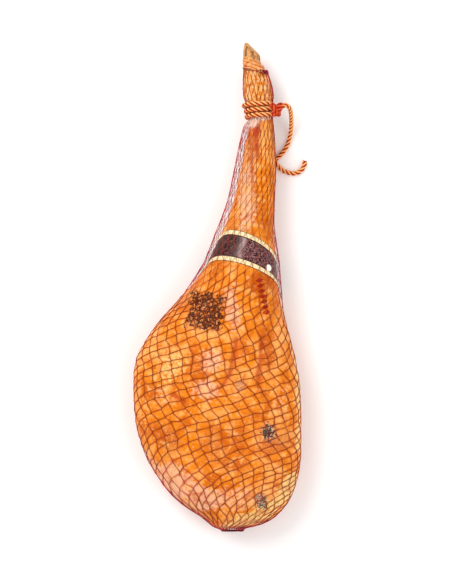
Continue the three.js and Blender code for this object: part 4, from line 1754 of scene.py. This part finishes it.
@dataclass
class Rope:
    """One rope: turns round the ankle, an overhand knot, a loop and a loose end.

    Attributes:
        strands: How many strands are laid together.
        lay_mm: The length in which a strand goes once round.
        strand_mm: A strand's radius.
        strand_out_mm: How far a strand's middle is from the rope's.
        sides: The corners of a strand's section.
        finish: What it is made of.
    """

    strands: int = 3
    lay_mm: float = 25.0
    strand_mm: float = 2.02
    strand_out_mm: float = 1.95
    sides: int = 12
    finish: Finish = field(default_factory=LaidCord)

    def build(self, cover: WrapSurface) -> bpy.types.Object:
        """Lays the rope along its route and twists its strands.

        Args:
            cover: The surface that the yarns of the net lie on.

        Returns:
            The rope.
        """
        whole = np.vstack([self.route(stretch, cover) for stretch in Stretch])
        path = smooth_path(even_steps(whole, 5.0), 1.5)
        for _ in range(3):
            path[1:-1] = (path[:-2] + 2 * path[1:-1] + path[2:]) / 4
        path[:, 2] = np.maximum(path[:, 2], ROPE_DIAMETER / 2)
        vertices, faces, yarn, flush = self.laid(path)
        piece = new_piece("rope", vertices * MM, faces)
        store(piece, "yarn", yarn)
        store(piece, "flush", flush)
        dress(piece, self.finish, "rope_fibre", "rope_turns", "rope_knot", "rope_tail")
        return piece

    def route(self, stretch: Stretch, cover: WrapSurface) -> np.ndarray:
        """Where one stretch of the rope runs.

        Args:
            stretch: Which stretch.
            cover: The surface that the yarns of the net lie on.

        Returns:
            Points along it, in millimetres.
        """
        if stretch is Stretch.TURNS:
            return self.turns(cover)
        if stretch is Stretch.KNOT:
            return self.knot()
        return smooth_path(np.array(ROPE_ROUTE, float), 2.0)

    @staticmethod
    def turns(cover: WrapSurface) -> np.ndarray:
        """Lays the turns round the ankle side by side.

        Args:
            cover: The surface that the yarns of the net lie on.

        Returns:
            Points along them, in millimetres.
        """
        share = np.linspace(0, 1, 160)
        angle = math.radians(-75) + (math.radians(125) - TURN * ROPE_TURNS) * share
        along = ROPE_AT + TURN_PITCH * (share * ROPE_TURNS - ROPE_TURNS / 2) * 0.98
        return cover.place(cover.travel_at(along), angle, ROPE_DIAMETER / 2 + 0.6)

    @staticmethod
    def knot() -> np.ndarray:
        """Ties an overhand knot on the outside of the turns, pulled tight.

        Returns:
            Points along it, in millimetres.
        """
        middle = np.mean(box_mm("rope_knot"), axis=0) + np.array([-1.0, 0, -4.0])
        outward = middle - np.mean(box_mm("rope_turns"), axis=0)
        outward[1] = 0
        outward /= np.linalg.norm(outward)
        along = np.array([0.0, 1.0, 0.0])
        across = np.cross(along, outward)
        # The open part of a trefoil's curve, from one end of the knot to the other.
        t = np.linspace(math.pi + 0.45, 3 * math.pi - 0.45, 60)
        right = (np.sin(t) + 2 * np.sin(2 * t)) * 3.5
        up = (np.cos(t) - 2 * np.cos(2 * t)) * 4.5 - 1.0
        out = -np.sin(3 * t) * 4.2 + np.linspace(-1.0, 3.0, len(t))
        return middle + right[:, None] * across + up[:, None] * along + out[:, None] * outward

    def laid(self, path: np.ndarray) -> tuple[np.ndarray, ...]:
        """Twists the strands round the rope's middle line.

        Args:
            path: The middle line, in millimetres, in even steps.

        Returns:
            Vertices, faces, each vertex's place from cream to red round its strand, and how deep in the
            knot it is.
        """
        fine = even_steps(path, 1.1)
        _, first, second = frames_along(fine)
        run = np.linspace(0, line_length(fine), len(fine))
        in_knot = smoothstep(np.linalg.norm(fine - np.mean(box_mm("rope_knot"), axis=0), axis=1), 17, 9)
        from_end = run[-1] - run
        splay = 1 + 0.3 * smoothstep(from_end, 9, 0)
        parts, yarns, flushes = [], [], []
        for strand in range(self.strands):
            turn = TURN * (run / self.lay_mm + strand / self.strands)
            out = np.cos(turn)[:, None] * first + np.sin(turn)[:, None] * second
            line = fine + out * (self.strand_out_mm * splay)[:, None]
            radius = self.strand_mm * (1 - 0.25 * smoothstep(from_end, 1.5, 0))
            parts.append(tube(line, radius, self.sides, out))
            around = np.arange(self.sides) / self.sides
            tone = 0.5 - 0.5 * np.cos((around - 0.07) * TURN)
            yarns.append(np.tile(tone, len(fine)))
            flushes.append(np.repeat(in_knot, self.sides))
        vertices, faces = joined(parts)
        vertices[:, 2] = np.maximum(vertices[:, 2], 0.05)
        return vertices, faces, np.concatenate(yarns), np.concatenate(flushes)


@dataclass
class Studio:
    """A white sweep of paper, soft lamps and a camera straight above the ham.

    Attributes:
        view_height: How much of the floor the picture takes in from top to bottom, in metres.
        view_middle: What the camera looks at.
        camera_height: How far the camera is above the level it is set for.
        focus_level: That level's height.
        sensor: The camera's sensor height, in millimetres.
        floor_half: Half the floor's width, in metres.
        floor_drop: How far the floor lies under the ham.
        daylight: The brightness of the room.
        finish: What the floor is made of.
    """

    view_height: float = 0.955
    view_middle: tuple[float, float] = (0.0143, -0.0070)
    camera_height: float = 4.0
    focus_level: float = 0.06
    sensor: float = 36.0
    floor_half: float = 6.0
    floor_drop: float = 0.0004
    daylight: float = 0.75
    finish: Finish = field(default_factory=PaperSweep)

    def place_camera(self) -> None:
        """A long lens that looks straight down, with the hoof at the top of the picture."""
        data = bpy.data.cameras.new("camera")
        data.sensor_width = self.sensor
        data.lens = self.sensor * self.camera_height / self.view_height
        camera = bpy.data.objects.new("camera", data)
        camera.location = (*self.view_middle, self.focus_level + self.camera_height)
        data.clip_end = 50
        bpy.context.scene.collection.objects.link(camera)
        bpy.context.scene.camera = camera

    def lay_floor(self) -> None:
        """A pale floor under the ham."""
        half, level = self.floor_half, -self.floor_drop
        corners = np.array([(x * half, y * half, level) for x, y in ((-1, -1), (1, -1), (1, 1), (-1, 1))])
        floor = new_piece("floor", corners, np.array([[0, 1, 2, 3]]), smooth=False)
        floor.data.materials.append(self.finish.make())

    def hang_lamps(self) -> None:
        """Two broad lamps and a bright room."""
        for name, place, size, power in (("key", (-1.3, 1.1, 2.2), 1.6, 42),
                                         ("fill", (1.6, -0.6, 1.9), 2.0, 18)):
            data = bpy.data.lights.new(name, "AREA")
            data.shape = "SQUARE"
            data.size = size
            data.energy = power
            lamp = bpy.data.objects.new(name, data)
            lamp.location = place
            lamp.rotation_euler = (-Vector(place)).to_track_quat("-Z", "Y").to_euler()
            lamp.visible_camera = False
            bpy.context.scene.collection.objects.link(lamp)
        world = bpy.data.worlds.new("room")
        world.use_nodes = True
        background = world.node_tree.nodes["Background"]
        background.inputs["Color"].default_value = (1, 1, 1, 1)
        background.inputs["Strength"].default_value = self.daylight
        bpy.context.scene.world = world
        bpy.context.scene.view_settings.view_transform = "Standard"


def main() -> None:
    """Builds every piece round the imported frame."""
    logging.basicConfig(level=logging.INFO, format="%(name)s: %(message)s")
    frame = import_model()
    studio = Studio()
    studio.place_camera()
    studio.lay_floor()
    studio.hang_lamps()

    # Places along the leg, closest together at the blunt rump.
    places = np.r_[np.arange(-395.5, -370, 0.5), np.arange(-370, -300, 1.5), np.arange(-300, 372, 3.0)]
    leg = Leg().build()
    leg_surface = survey(leg, places, 180)
    taut = survey(frame["nodes"]["net_sleeve"], places, 180, leg_surface)
    band = Band().build(leg_surface)
    stud = PressStud().build(leg_surface)
    net = Net()
    Leg.press(leg, net.lay(taut, leg_surface, np.mean(box_mm("stud_cap"), axis=0)))
    sleeve = net.build()
    tie = NetTie().build()
    rope = Rope().build(net.cover)
    for piece in (leg, band, *stud, sleeve, tie, rope):
        LOG.info("%s has %d faces", piece.name, len(piece.data.polygons))


if __name__ == "__main__":
    main()
